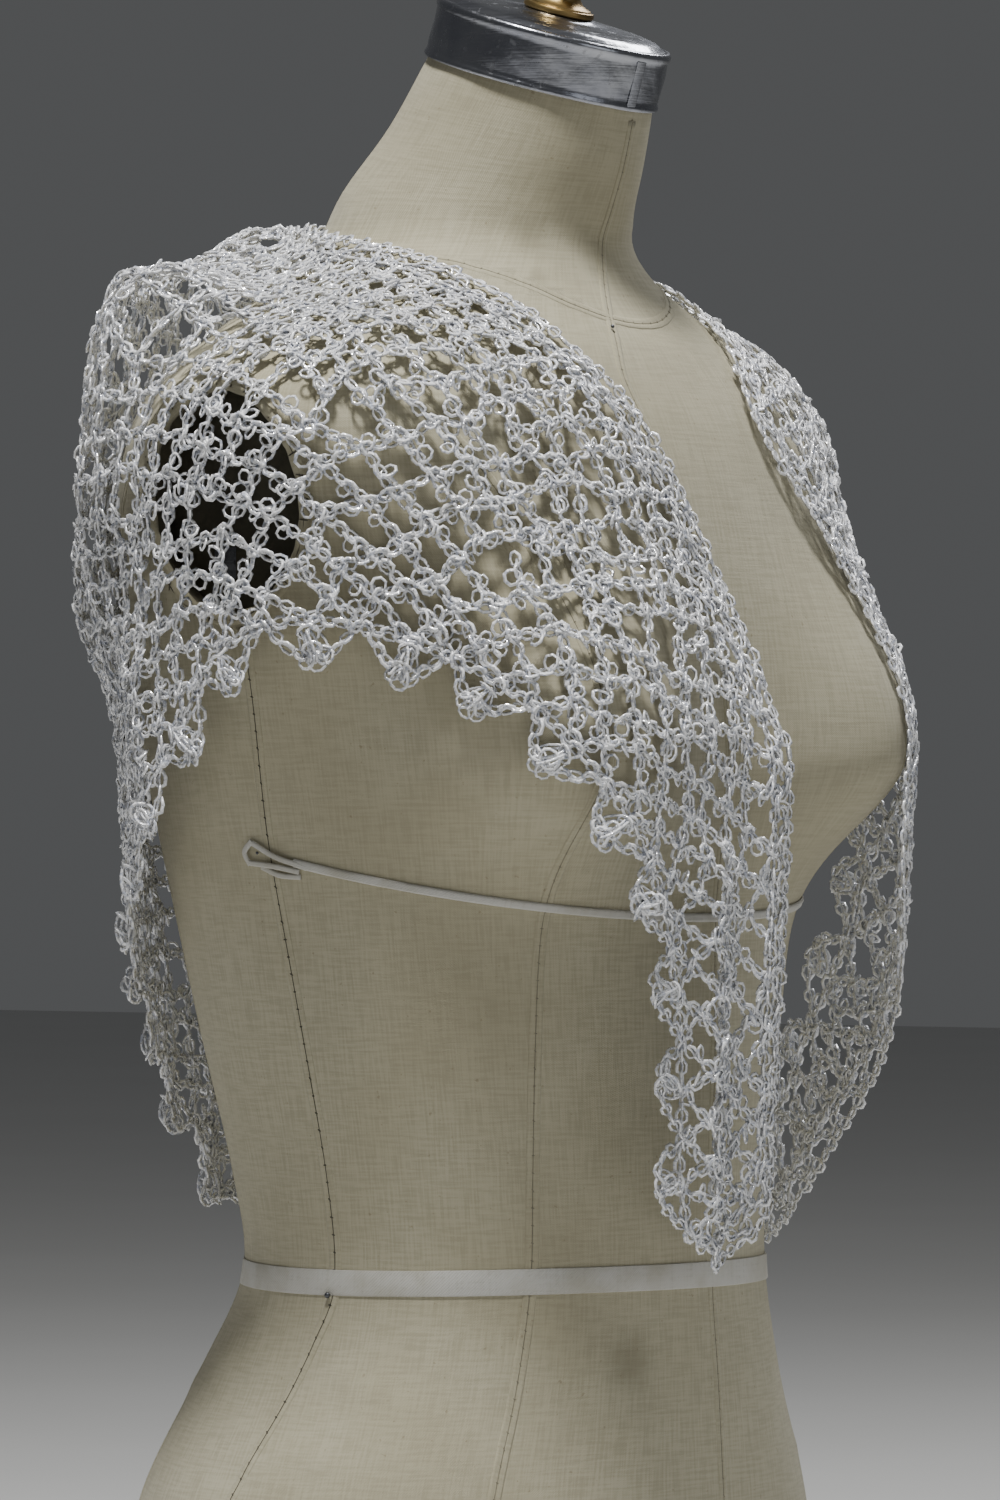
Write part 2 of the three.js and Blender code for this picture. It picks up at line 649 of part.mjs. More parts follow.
function neckCap() {
  const outer = 43.6;
  const inner = 42.2;
  const bottom = -0.6; // its skirt reaches just past the edge of the neck's flat top
  return turnedOnNeck(
    [[0, 0.4], [inner, 0.4], [inner, bottom], [outer, bottom], [outer, 19], [outer - 1.5, 21.5], [39, 23], [0, 25]],
    40,
  );
}

function capKnob() {
  const seat = 25.3;
  return turnedOnNeck(
    [[0, seat], [13, seat], [13, seat + 3], [7, seat + 6], [6, seat + 10], [11, seat + 16], [12, seat + 21],
      [9, seat + 27], [0, seat + 30]],
    20,
  );
}

const FINISHES = {
  lace: { color: 0xe4e6ee, roughness: 0.45, metalness: 0.1 },
  canvas: { color: 0xc9c2a6, roughness: 0.9, metalness: 0 },
  tape: { color: 0xdedbd0, roughness: 0.8, metalness: 0 },
  board: { color: 0x1d1a14, roughness: 0.9, metalness: 0 },
  steel: { color: 0xb4b8be, roughness: 0.25, metalness: 1 },
  brass: { color: 0x9a7b45, roughness: 0.4, metalness: 1 },
};

const group = new THREE.Group();
function add(name, geometry, finish) {
  const mesh = new THREE.Mesh(geometry, new THREE.MeshStandardMaterial(FINISHES[finish]));
  mesh.name = name;
  group.add(mesh);
}

// The shawl in stretches: the middle of the back, and on each side a back, a shoulder and a front.
const MIDDLE = 3;
const BACK = 7;
const SHOULDER = 12;
const FRONT = REPEATS_PER_SIDE;
add("net_back_middle", netStretch(-MIDDLE, MIDDLE), "lace");
add("net_back_right", netStretch(MIDDLE, BACK), "lace");
add("net_back_left", netStretch(-BACK, -MIDDLE), "lace");
add("net_shoulder_right", netStretch(BACK, SHOULDER), "lace");
add("net_shoulder_left", netStretch(-SHOULDER, -BACK), "lace");
add("net_front_right", netStretch(SHOULDER, FRONT), "lace");
add("net_front_left", netStretch(-FRONT, -SHOULDER), "lace");
add("border_back", borderStretch(-BACK, BACK), "lace");
add("border_right", borderStretch(BACK, FRONT), "lace");
add("border_left", borderStretch(-FRONT, -BACK), "lace");
add("edge_band_back", bandStretch(-BACK, BACK), "lace");
add("edge_band_right", bandStretch(BACK, FRONT), "lace");
add("edge_band_left", bandStretch(-FRONT, -BACK), "lace");

add("form_torso", torso(), "canvas");
add("form_armhole_board_right", armholeBoard(-1), "board");
add("form_armhole_board_left", armholeBoard(1), "board");
add("form_waist_tape", waistTape(), "tape");
add("form_neck_cap", neckCap(), "steel");
add("form_cap_knob", capKnob(), "brass");
add(
  "form_bust_tape",
  tape({ fromAngle: -96, toAngle: 96, steps: 56, height: WAIST_HEIGHT + 148, drape: -20, width: 3.4, thick: 1 }),
  "tape",
);

export default group;
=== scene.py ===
# %% [markdown]
# A crocheted lace shawl, draped over the shoulders of a limbless dress form.
#
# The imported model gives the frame: where every piece is and how large it is, in metres. This script adds
# what a camera sees. The yarn of the shawl is worked stitch by stitch with Geometry Nodes on the same
# draped surface that the model's walls follow, and the form gets its canvas, seams, tapes, cap and knob.

import math

import bmesh
import bpy
import numpy as np
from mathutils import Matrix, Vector
from mathutils.kdtree import KDTree


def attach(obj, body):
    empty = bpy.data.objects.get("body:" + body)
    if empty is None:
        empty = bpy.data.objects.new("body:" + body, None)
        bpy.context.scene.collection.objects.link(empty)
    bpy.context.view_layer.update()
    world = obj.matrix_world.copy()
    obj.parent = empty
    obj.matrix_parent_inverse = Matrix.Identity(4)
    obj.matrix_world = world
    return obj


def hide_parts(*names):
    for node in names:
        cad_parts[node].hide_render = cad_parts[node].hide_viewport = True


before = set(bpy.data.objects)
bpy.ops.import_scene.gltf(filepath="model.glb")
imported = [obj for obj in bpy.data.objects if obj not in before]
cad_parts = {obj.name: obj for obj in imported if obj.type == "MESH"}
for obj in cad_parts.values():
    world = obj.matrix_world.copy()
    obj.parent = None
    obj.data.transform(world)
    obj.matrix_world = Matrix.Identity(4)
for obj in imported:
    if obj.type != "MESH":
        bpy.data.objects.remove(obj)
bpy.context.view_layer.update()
MM = 0.001  # the formulas below are in millimetres, and meshes are in metres

# %% [markdown]
# The camera stands where the photographer stood: level, far off, with a long lens, and 58 degrees round
# from the form's front. A long lens keeps the outlines nearly parallel, so the near and far sides of the
# shawl keep their true proportions.

# %% Camera
CAMERA_TURN = math.radians(58)
CAMERA_DISTANCE = 3400
CAMERA_HEIGHT = 403
AXIS_RIGHT_OF_MIDDLE = 2.2  # the form's axis falls a little to the right of the picture's middle
PIXELS_PER_MM = 2.75
SENSOR = 36
PICTURE_HEIGHT = 1500

looking = Vector((math.sin(CAMERA_TURN), math.cos(CAMERA_TURN), 0))
to_the_right = Vector((looking.y, -looking.x, 0))
camera_data = bpy.data.cameras.new("camera")
camera_data.lens = PIXELS_PER_MM * CAMERA_DISTANCE * SENSOR / PICTURE_HEIGHT
camera_data.sensor_width = SENSOR
camera_data.clip_end = 50
camera = bpy.data.objects.new("camera", camera_data)
bpy.context.collection.objects.link(camera)
aim = -AXIS_RIGHT_OF_MIDDLE * to_the_right + Vector((0, 0, CAMERA_HEIGHT))
camera.location = (aim - CAMERA_DISTANCE * looking) * MM
camera.rotation_euler = looking.to_track_quat("-Z", "Y").to_euler()
bpy.context.scene.camera = camera
print("lens", round(camera_data.lens, 1), "mm")

# %% [markdown]
# Materials and Geometry Nodes are both graphs of nodes. One class wraps an output socket, so that node
# maths reads as Python arithmetic.

# %% Sockets with arithmetic
class Wire:
    """An output socket of a node, with Python's arithmetic."""

    def __init__(self, graph, socket):
        self.graph = graph
        self.socket = socket

    def out(self, name):
        return Wire(self.graph, self.socket.node.outputs[name])

    def math(self, operation, *others):
        return self.graph.add("ShaderNodeMath", {"operation": operation}, [self, *others])

    def __add__(self, other):
        return self.math("ADD", other)

    def __sub__(self, other):
        return self.math("SUBTRACT", other)

    def __mul__(self, other):
        return self.math("MULTIPLY", other)

    def __truediv__(self, other):
        return self.math("DIVIDE", other)

    def __rsub__(self, other):
        return self.graph.add("ShaderNodeMath", {"operation": "SUBTRACT"}, [other, self])

    def __rtruediv__(self, other):
        return self.graph.add("ShaderNodeMath", {"operation": "DIVIDE"}, [other, self])

    __radd__ = __add__
    __rmul__ = __mul__


print("a wire adds, subtracts, multiplies and divides, from either side")

# %% [markdown]
# Another class stands for a whole graph. Its one method makes any node from its type, its settings and
# what goes into it, and the few nodes that come up all the time have a short name of their own.

# %% Node graphs
class Graph:
    """Adds nodes to a tree: settings first, then the values or wires that go into the sockets."""

    def __init__(self, tree):
        self.tree = tree
        tree.nodes.clear()

    def add(self, kind, settings=None, inputs=None, output=0):
        node = self.tree.nodes.new(kind)
        for name, value in (settings or {}).items():
            setattr(node, name, value)
        pairs = inputs.items() if isinstance(inputs, dict) else enumerate(inputs or [])
        for name, value in pairs:
            if isinstance(value, Wire):
                self.tree.links.new(value.socket, node.inputs[name])
            elif value is not None:
                node.inputs[name].default_value = value
        return Wire(self, node.outputs[output]) if len(node.outputs) else node

    def mix(self, share, one, two):
        """A mix of two colours."""
        inputs = {0: share, 6: colour(one), 7: colour(two)}
        return self.add("ShaderNodeMix", {"data_type": "RGBA"}, inputs, output=2)

    def vector(self, operation, *inputs):
        return self.add("ShaderNodeVectorMath", {"operation": operation}, list(inputs))

    def noise(self, place, scale, detail, roughness=0.55):
        inputs = {"Vector": place, "Scale": scale, "Detail": detail, "Roughness": roughness}
        return self.add("ShaderNodeTexNoise", None, inputs)

    def band(self, value, low, high):
        """A smooth step from 0 to 1 of a value between two limits."""
        smooth_step = {"interpolation_type": "SMOOTHSTEP"}
        return self.add("ShaderNodeMapRange", smooth_step, [value, low, high, 0, 1])


def colour(value):
    return value if isinstance(value, Wire) else (*value, 1)


def new_material(name, **constants):
    """A Principled material and its graph. Constants are set on the shader's own sockets."""
    material = bpy.data.materials.new(name)
    material.use_nodes = True
    graph = Graph(material.node_tree)
    shader = graph.add("ShaderNodeBsdfPrincipled").socket.node
    end = graph.tree.nodes.new("ShaderNodeOutputMaterial")
    graph.tree.links.new(shader.outputs[0], end.inputs["Surface"])
    for socket, value in constants.items():
        shader.inputs[socket.replace("_", " ")].default_value = value

    def feed(socket, wire):
        graph.tree.links.new(wire.socket, shader.inputs[socket])

    return material, graph, feed


def bump(graph, height, strength, distance):
    """A relief of a height in metres, as the normal that a shader takes."""
    inputs = {"Height": height, "Strength": strength, "Distance": distance}
    return graph.add("ShaderNodeBump", None, inputs)


# %% [markdown]
# The floor is plain and pale, and the light is that of a small studio: one wide soft lamp high on the
# side, a weaker one across from it, and an even grey from all round. Glossy yarn is seen by what it
# mirrors, so the lamps are large enough to give each loop a highlight.

# %% Floor and light
# Degrees to the right of the camera's side, height, distance from the form's axis, size, power and tint
LAMPS = {
    "key": (-14, 2.9, 0.75, 0.5, 106, (1, 0.99, 0.97)),
    "fill": (50, 1.1, 2.2, 1.2, 3, (0.93, 0.96, 1)),
    "rim": (150, 1.9, 1.6, 0.6, 16, (0.97, 0.98, 1)),
}
LIT_PLACE = Vector((0, 0, 0.4))
STUDIO_GREY = (0.86, 0.88, 0.9, 1)
STUDIO_STRENGTH = 0.1
FLOOR_HALF = 9
FLOOR_TONES = ((0.6, 0.6, 0.59), (0.64, 0.64, 0.63))

for name, (turn, height, distance, size, power, tint) in LAMPS.items():
    lamp = bpy.data.lights.new(name, "AREA")
    lamp.shape = "DISK"
    lamp.size = size
    lamp.energy = power
    lamp.color = tint
    light = bpy.data.objects.new(name, lamp)
    bpy.context.collection.objects.link(light)
    turn = CAMERA_TURN - math.radians(turn)
    light.location = (-math.sin(turn) * distance, -math.cos(turn) * distance, height)
    light.rotation_euler = (LIT_PLACE - light.location).to_track_quat("-Z", "Y").to_euler()

world = bpy.data.worlds.new("studio")
world.use_nodes = True
background = world.node_tree.nodes["Background"]
background.inputs["Color"].default_value = STUDIO_GREY
background.inputs["Strength"].default_value = STUDIO_STRENGTH
bpy.context.scene.world = world

floor_mesh = bpy.data.meshes.new("floor")
corners = [(x * FLOOR_HALF, y * FLOOR_HALF, 0) for x, y in ((-1, -1), (1, -1), (1, 1), (-1, 1))]
floor_mesh.from_pydata(corners, [], [(0, 1, 2, 3)])
floor = bpy.data.objects.new("floor", floor_mesh)
bpy.context.collection.objects.link(floor)
floor_paint, floor_graph, feed = new_material("pale_floor", Roughness=0.75)
floor_place = floor_graph.add("ShaderNodeTexCoord", output="Object")
feed("Base Color", floor_graph.mix(floor_graph.noise(floor_place, 3, 3), *FLOOR_TONES))
floor_mesh.materials.append(floor_paint)
print("floor and", len(LAMPS), "lamps")

# %% [markdown]
# The dress form is a papier-mache torso covered in canvas. Its shape follows a few sections, each an oval
# with its own half width and its own depth to the front and to the back. Between the sections a smooth
# curve runs through the values, so a skin of any fineness can be taken from them.

# %% The form's shape
WAIST = 215.0
NECK_TOP = WAIST + 431
NECK_LEAN = 0.3
NECK_LEAN_START = WAIST + 372
BUST = {"angle": 35, "height": WAIST + 186, "rise": 37, "spread": 21, "above": 66, "below": 36}
ARMHOLE = {"height": WAIST + 275, "y": 18, "half_width": 38, "half_height": 42, "floor_x": 134}

# Height above the waist, half width, depth to the front, depth to the back, y of the middle
FORM_SECTIONS = np.array([
    (-215, 157, 97, 131, 0),
    (-150, 160, 98, 134, 0),
    (-84, 147, 92, 127, 0),
    (-35, 123, 89, 104, 0),
    (0, 112, 87, 87, 0),
    (35, 115, 87, 91, 0),
    (85, 125, 89, 103, 0),
    (130, 133, 90, 114, 0),
    (186, 146, 94, 124, 0),
    (235, 158, 93, 129, 0),
    (275, 168, 86, 127, 0),
    (303, 169, 78, 118, 0),
    (320, 159, 70, 109, 0),
    (334, 136, 63, 97, 1),
    (347, 105, 56, 86, 4),
    (359, 79, 52, 74, 7),
    (371, 62, 51, 62, 9),
    (387, 54, 52, 54, 7),
    (407, 47, 46, 46, -4),
    (431, 41.5, 39.7, 39.7, -15),
], float)
HALF_WIDTH, FRONT, BACK, CENTRE_Y = 1, 2, 3, 4


def smooth(rows, column, at):
    """A smooth value of one column of a table, between its rows. The first column is the key."""
    keys, values = rows[:, 0], rows[:, column]
    order = np.arange(len(keys))
    before, after = np.maximum(order - 1, 0), np.minimum(order + 1, len(keys) - 1)
    slopes = (values[after] - values[before]) / (keys[after] - keys[before])
    i = np.clip(np.searchsorted(keys, at) - 1, 0, len(keys) - 2)
    step = keys[i + 1] - keys[i]
    t = np.clip((at - keys[i]) / step, 0, 1)
    leaving = (t**3 - 2 * t**2 + t) * slopes[i] + (t**3 - t**2) * slopes[i + 1]
    return lerp(values[i], values[i + 1], 3 * t**2 - 2 * t**3) + leaving * step


def lerp(one, two, share):
    return one + (two - one) * share


def form_point(angle, height, outward=0.0):
    """Points of the form's skin. Angles are in degrees, 0 at the front, positive on its right, at -X."""
    angle, height, outward = np.broadcast_arrays(np.asarray(angle, float), height, outward)
    at = height - WAIST
    turn = np.radians(angle)
    depth = np.where(
        np.abs(angle) < 90, smooth(FORM_SECTIONS, FRONT, at), smooth(FORM_SECTIONS, BACK, at)
    )
    away = (np.abs(angle) - BUST["angle"]) / BUST["spread"]
    up = height - BUST["height"]
    along = up / np.where(up > 0, BUST["above"], BUST["below"])
    grow = BUST["rise"] * np.exp(-(away**2) - along**2) + outward
    reach = (depth + grow) * np.cos(turn)
    lean = np.clip((height - NECK_LEAN_START) / (NECK_TOP - NECK_LEAN_START), 0, 1)
    x = -(smooth(FORM_SECTIONS, HALF_WIDTH, at) + grow) * np.sin(turn)
    return np.stack([x, smooth(FORM_SECTIONS, CENTRE_Y, at) - reach, height - NECK_LEAN * lean * reach], -1)


print("waist", np.round(form_point([0, 90, 180], WAIST), 1).tolist())

# %% [markdown]
# Cloth that lies over a body touches it only where the body stands out. So each level of the draped
# surface is the convex outline of the form at that height, like a string pulled round it, and below a
# wide level the cloth hangs nearly straight down. A place on this surface is an angle round the form and
# a distance down its side.

# %% The draped surface
ANGLE_STEP = 3
LEVEL_STEP = 3
TOP_LEVEL = WAIST + 396
BOTTOM_LEVEL = WAIST - 30
HANG_LEAN = 0.06  # how much nearer the form hanging cloth comes on its way down
FACING = 0.2  # a side that turns further away than this doesn't hold the cloth off
DROP_STEP = 1.5
LEVELS = np.arange(TOP_LEVEL, BOTTOM_LEVEL - 1, -LEVEL_STEP)
MERIDIANS = np.arange(0, 181, ANGLE_STEP)
DROPS = np.arange(-60, 640, DROP_STEP)


def convex_outline(height):
    around = np.radians(np.arange(-180, 180, ANGLE_STEP))
    skin = form_point(np.degrees(around), height)
    support = (-skin[:, :1] * np.sin(around) - skin[:, 1:2] * np.cos(around)).max(axis=0)
    facing = np.cos(np.radians(MERIDIANS)[:, None] - around[None, :])
    return np.where(facing > FACING, support / np.maximum(facing, FACING), np.inf).min(axis=1)


def draped_radii():
    radii = []
    for height in LEVELS:
        hull = convex_outline(height)
        radii.append(np.maximum(hull, radii[-1] - HANG_LEAN * LEVEL_STEP) if radii else hull)
    return np.array(radii)


RADII = draped_radii()
STEPS_DOWN = np.hypot(np.diff(RADII, axis=0), LEVEL_STEP)
RUNS = np.vstack([np.zeros(len(MERIDIANS)), np.cumsum(STEPS_DOWN, axis=0)])


def by_drop(values):
    """A table of values down each meridian, at even distances, run on straight past both ends."""
    table = []
    for m in range(len(MERIDIANS)):
        run, line = RUNS[:, m], values[:, m]
        first = line[0] + (line[1] - line[0]) / (run[1] - run[0]) * (DROPS[0] - run[0])
        last = line[-1] + (line[-1] - line[-2]) / (run[-1] - run[-2]) * (DROPS[-1] - run[-1])
        table.append(np.interp(DROPS, [DROPS[0], *run, DROPS[-1]], [first, *line, last]))
    return np.array(table)


RADIUS_TABLE = by_drop(RADII)
HEIGHT_TABLE = by_drop(np.repeat(LEVELS[:, None], len(MERIDIANS), axis=1))


def between(table, row, column):
    """A value between the four entries of a table round a place in it."""
    i = np.clip(np.floor(row).astype(int), 0, table.shape[0] - 2)
    j = np.clip(np.floor(column).astype(int), 0, table.shape[1] - 2)
    low = lerp(table[i, j], table[i, j + 1], column - j)
    high = lerp(table[i + 1, j], table[i + 1, j + 1], column - j)
    return lerp(low, high, row - i)


def unturned(angle):
    return np.where(np.abs(angle) > 180, 360 - np.abs(angle), np.abs(angle))


def drape_point(angle, drop):
    meridian, down = unturned(angle) / ANGLE_STEP, (drop - DROPS[0]) / DROP_STEP
    radius = between(RADIUS_TABLE, meridian, down)
    turn = np.radians(angle)
    height = between(HEIGHT_TABLE, meridian, down)
    return np.stack([-radius * np.sin(turn), -radius * np.cos(turn), height], -1)


def drop_at(angle, above_waist):
    """How far down its meridian a place at a height above the waist lies."""
    return between(RUNS, (TOP_LEVEL - WAIST - above_waist) / LEVEL_STEP, unturned(angle) / ANGLE_STEP)


print("drape", RADII.shape, "bust radius", round(float(RADII[:, 12].max()), 1), "mm")

# %% [markdown]
# The shawl is one triangle. Its long edge runs round the neck and down both fronts, and its lower edge
# hangs in a point at the back and rises over the arms. Both edges are given as a few places, and so are
# the folds, which are soft ridges of the cloth.

# %% The shawl's edges and folds
HALF_SPAN = 490
REPEATS_PER_SIDE = 18
BAND = 12  # how wide the band along the long edge is

# Span along the edge, angle, height above the waist, and how much further round the left front hangs
LONG_EDGE = np.array([
    (0, 180, 376, 0),
    (40, 142, 375, 0),
    (70, 110, 370, 0),
    (95, 82, 362, 0),
    (118, 57, 347, 0),
    (140, 41, 329, 0),
    (165, 25, 307, 6),
    (215, 9, 262, 30),
    (260, 3, 222, 38),
    (302, 0, 182, 40),
    (345, -1, 142, 41),
    (410, -1, 79, 52),
    (450, -1, 39, 64),
    (475, 4, 16, 68),
    (490, 15, 3, 66),
], float)
LOWER_EDGE = np.array([
    (0, 180, 24, 0),
    (20, 170, 52, 0),
    (50, 153, 92, 0),
    (85, 134, 127, 0),
    (125, 114, 160, 0),
    (150, 103, 193, 0),
    (172, 95, 222, 0),
    (200, 84, 234, 1),
    (240, 69, 225, 5),
    (280, 56, 207, 10),
    (320, 46, 180, 16),
    (355, 38, 150, 22),
    (390, 33, 120, 29),
    (420, 30, 93, 38),
    (450, 29, 64, 47),
    (475, 29, 38, 54),
    (490, 27, 17, 58),
], float)
# Each fold is a soft ridge: from an angle and a height to another, its rise and its width
FOLDS = (
    (62, 322, 120, 322, 3, 20),
    (170, 354, 115, 331, 27, 21),
    (120, 312, 128, 240, 12, 24),
    (66, 300, 56, 225, 4, 16),
    (44, 300, 30, 235, 3, 18),
    (3, 185, 3, 10, 6, 11),
    (23, 150, 23, 10, 7, 9),
    (158, 230, 165, 60, 4, 14),
    (180, 200, 180, 20, 4, 11),
    (112, 215, 108, 150, 4, 13),
)
LEFT_FOLD_SHARE = 0.8
LEFT_FOLD_TURN = -2.5
print(len(LONG_EDGE), "places on the long edge,", len(LOWER_EDGE), "on the lower one,", len(FOLDS), "folds")

# %% [markdown]
# The cloth stands a little off the form, and a fold lifts it further. It lies closest on the shoulders.

# %% Folds and standoff
STANDOFF = 3.2
REST = {"x": 112, "height": WAIST + 340, "half_width": 34, "half_height": 14, "standoff": 1.75}


def unit(vectors):
    return vectors / np.maximum(np.linalg.norm(vectors, axis=-1, keepdims=True), 1e-9)


def fold_rise(angle, drop, radius):
    left = (angle < 0) | (angle > 180)
    at = unturned(angle) + np.where(left, LEFT_FOLD_TURN, 0)
    per_degree = np.radians(radius)
    total = 0
    for from_angle, from_height, to_angle, to_height, rise, width in FOLDS:
        start = drop_at(np.array(from_angle), from_height)
        run = np.stack([(to_angle - from_angle) * per_degree,
                        np.broadcast_to(drop_at(np.array(to_angle), to_height) - start, at.shape)], -1)
        place = np.stack([(at - from_angle) * per_degree, drop - start], -1)
        share = np.clip((place * run).sum(-1) / (run * run).sum(-1), 0, 1)
        away = np.linalg.norm(place - share[..., None] * run, axis=-1) / width
        total = total + rise * np.exp(-(away**2))
    return total * np.where(left, LEFT_FOLD_SHARE, 1)


def standoff(point):
    across = (np.abs(point[..., 0]) - REST["x"]) / REST["half_width"]
    up = (point[..., 2] - REST["height"]) / REST["half_height"]
    return lerp(STANDOFF, REST["standoff"], np.exp(-(across**2 + up**2) / 2))


print("standoff", STANDOFF, "mm, and on the shoulders", REST["standoff"], "mm")

# %% [markdown]
# A stitch is found by two numbers: how many scallops it is from the middle of the back, and how far it
# lies from the long edge. Curves run from one edge to the other and meet both of them squarely.

# %% Places on the shawl
ACROSS_SHARE = 0.75  # how squarely the curves meet the edges
SQUARE_FROM = 60  # and from which span on
EDGE_STEP = 8
SKIN_STEP = 3


def edge_place(rows, span, left):
    """Where an edge lies at a span, and the way across it."""
    def spot(at):
        angle = smooth(rows, 1, at) + np.where(left, smooth(rows, 3, at), 0)
        return angle, drop_at(angle, smooth(rows, 2, at))

    angle, drop = spot(span)
    before, after = spot(np.maximum(span - EDGE_STEP, 0)), spot(np.minimum(span + EDGE_STEP, HALF_SPAN))
    per_degree = np.radians(np.linalg.norm(drape_point(angle, drop)[..., :2], axis=-1))
    along = unit(np.stack([(before[0] - after[0]) * per_degree, after[1] - before[1]], -1))
    return {"angle": angle, "drop": drop, "per_degree": per_degree, "across": along[..., ::-1]}


def lower_edge_run():
    spans = np.arange(0, HALF_SPAN + 1, 5.0)
    place = edge_place(LOWER_EDGE, spans, np.zeros(len(spans), bool))
    steps = np.linalg.norm(np.diff(drape_point(place["angle"], place["drop"]), axis=0), axis=1)
    return np.stack([np.concatenate([[0], np.cumsum(steps)]), spans], -1)


LOWER_RUN = lower_edge_run()
REPEAT = LOWER_RUN[-1, 0] / REPEATS_PER_SIDE


def net_line(repeats):
    """The lines of the net at some numbers of repeats: curves that meet both edges squarely."""
    span = smooth(LOWER_RUN, 1, np.abs(repeats) * REPEAT)
    left = repeats < 0
    top, bottom = edge_place(LONG_EDGE, span, left), edge_place(LOWER_EDGE, span, left)
    per_degree = (top["per_degree"] + bottom["per_degree"]) / 2
    chord = np.stack([(bottom["angle"] - top["angle"]) * per_degree, bottom["drop"] - top["drop"]], -1)
    length = np.linalg.norm(chord, axis=-1)
    share = ACROSS_SHARE * np.clip(span / SQUARE_FROM, 0, 1)[..., None]

    def heading(place):
        way = unit(lerp(unit(chord), place["across"], share))
        return {"angle": way[..., 0] * length / place["per_degree"], "drop": way[..., 1] * length}

    ways = {"leave": heading(top), "arrive": heading(bottom)}
    return {"top": top, "bottom": bottom, "length": length, **ways}


def place(repeats, down):
    """The angle and the drop of a stitch. Angles run on past 180 degrees on the left."""
    repeats, down = np.broadcast_arrays(np.asarray(repeats, float), down)
    line = net_line(repeats)
    t = down / line["length"]
    inside = np.minimum(t, 1)

    def curve(key):
        s = 3 * inside**2 - 2 * inside**3
        value = lerp(line["top"][key], line["bottom"][key], s)
        value = value + (inside**3 - 2 * inside**2 + inside) * line["leave"][key]
        value = value + (inside**3 - inside**2) * line["arrive"][key]
        return value + line["arrive"][key] * np.maximum(t - 1, 0)

    return np.where(repeats < 0, 360 - curve("angle"), curve("angle")), curve("drop")


def skin(angle, drop, lift=0.0):
    """Points of the shawl at some angles and drops, and its outward directions there."""
    angle, drop, lift = np.broadcast_arrays(np.asarray(angle, float), drop, lift)
    point = drape_point(angle, drop)
    round_it = drape_point(angle + 1, drop) - drape_point(angle - 1, drop)
    downwards = drape_point(angle, drop + SKIN_STEP) - drape_point(angle, drop - SKIN_STEP)
    outward = unit(np.cross(round_it, downwards))
    rise = fold_rise(angle, drop, np.linalg.norm(point[..., :2], axis=-1))
    return point + outward * (standoff(point) + rise + lift)[..., None], outward


def cloth(repeats, down, lift=0.0):
    """Points of the shawl, counted in scallops from the middle and in millimetres from the long edge."""
    return skin(*place(repeats, down), lift)


def net_length(repeats):
    return net_line(np.asarray(repeats, float))["length"]


def eighths(low, high):
    """Every eighth of a scallop between two numbers of scallops."""
    return np.arange(low, high + 0.01, 0.125)


print("scallop", round(REPEAT, 2), "mm; depth at the back", round(float(net_length(0.0)), 1), "mm")

# %% [markdown]
# The yarn is glossy and white, with a fine metallic strand twisted in. Each loop is about a millimetre
# thick, so the material only varies a little along it: a cool grey painted between its twisted strands as
# shade, and small glints where the metallic strand comes to the top.

# %% Yarn
def yarn_material():
    material, g, feed = new_material("glossy_yarn", Specular_IOR_Level=0.8, Coat_Roughness=0.08)
    place = g.add("ShaderNodeTexCoord", output="Object")
    plies_and_painted_shade = g.noise(place, 620, 2)
    patches = g.noise(place, 60, 2)
    glint = g.band(g.noise(place, 700, 1), 0.6, 0.66)
    body = g.mix(patches, (0.9, 0.91, 0.94), (0.98, 0.98, 0.98))
    # painted shade: a cool grey between the twisted strands stands in for the shade in the grooves between
    # them
    body = g.mix(g.band(plies_and_painted_shade, 0.38, 0.5), (0.56, 0.59, 0.68), body)
    feed("Base Color", g.mix(glint, body, (0.98, 0.98, 0.99)))
    feed("Metallic", glint * 0.8)
    feed("Roughness", 0.2 - glint * 0.08 + plies_and_painted_shade * 0.1)
    feed("Coat Weight", 0.6 + patches * 0.4)
    feed("Normal", bump(g, plies_and_painted_shade, 0.5, 0.0004))
    return material


yarn = yarn_material()
print("material:", yarn.name)

# %% [markdown]
# A crochet chain is a line of small open loops, each drawn through the last, so neighbours stand turned
# from one another. Geometry Nodes lay such loops along every line of a mesh: the line is divided at the
# pitch of the stitches, and a loop is placed at each point, along the line, turned to one side and the
# other in turn. The loop is an oval of yarn with few faces, because the shawl has thousands of them.

# %% Parts of the trees
def new_tree(name, numbers):
    """A Geometry Nodes tree with one geometry input, some named numbers and one geometry output."""
    tree = bpy.data.node_groups.new(name, "GeometryNodeTree")
    tree.interface.new_socket("Geometry", in_out="INPUT", socket_type="NodeSocketGeometry")
    for label, value in numbers.items():
        kind = "NodeSocketInt" if isinstance(value, int) else "NodeSocketFloat"
        tree.interface.new_socket(label, in_out="INPUT", socket_type=kind).default_value = value
    tree.interface.new_socket("Geometry", in_out="OUTPUT", socket_type="NodeSocketGeometry")
    graph = Graph(tree)
    return tree, graph, graph.add("NodeGroupInput")


def loop_of_yarn(g, entry):
    """An oval ring of yarn that lies flat, a little wider at its far end, as a drawn loop is."""
    circle = g.add("GeometryNodeCurvePrimitiveCircle", None, {"Resolution": entry.out("Corners")})
    parts = g.add("ShaderNodeSeparateXYZ", None, [g.add("GeometryNodeInputPosition")])
    x, y = parts.out("X"), parts.out("Y")
    wide = y * entry.out("Half width") * (1 + x * 0.22)
    place = g.add("ShaderNodeCombineXYZ", None, [x * entry.out("Half length"), wide, 0.0])
    oval = g.add("GeometryNodeSetPosition", None, {"Geometry": circle, "Position": place})
    return strand(g, entry, oval)


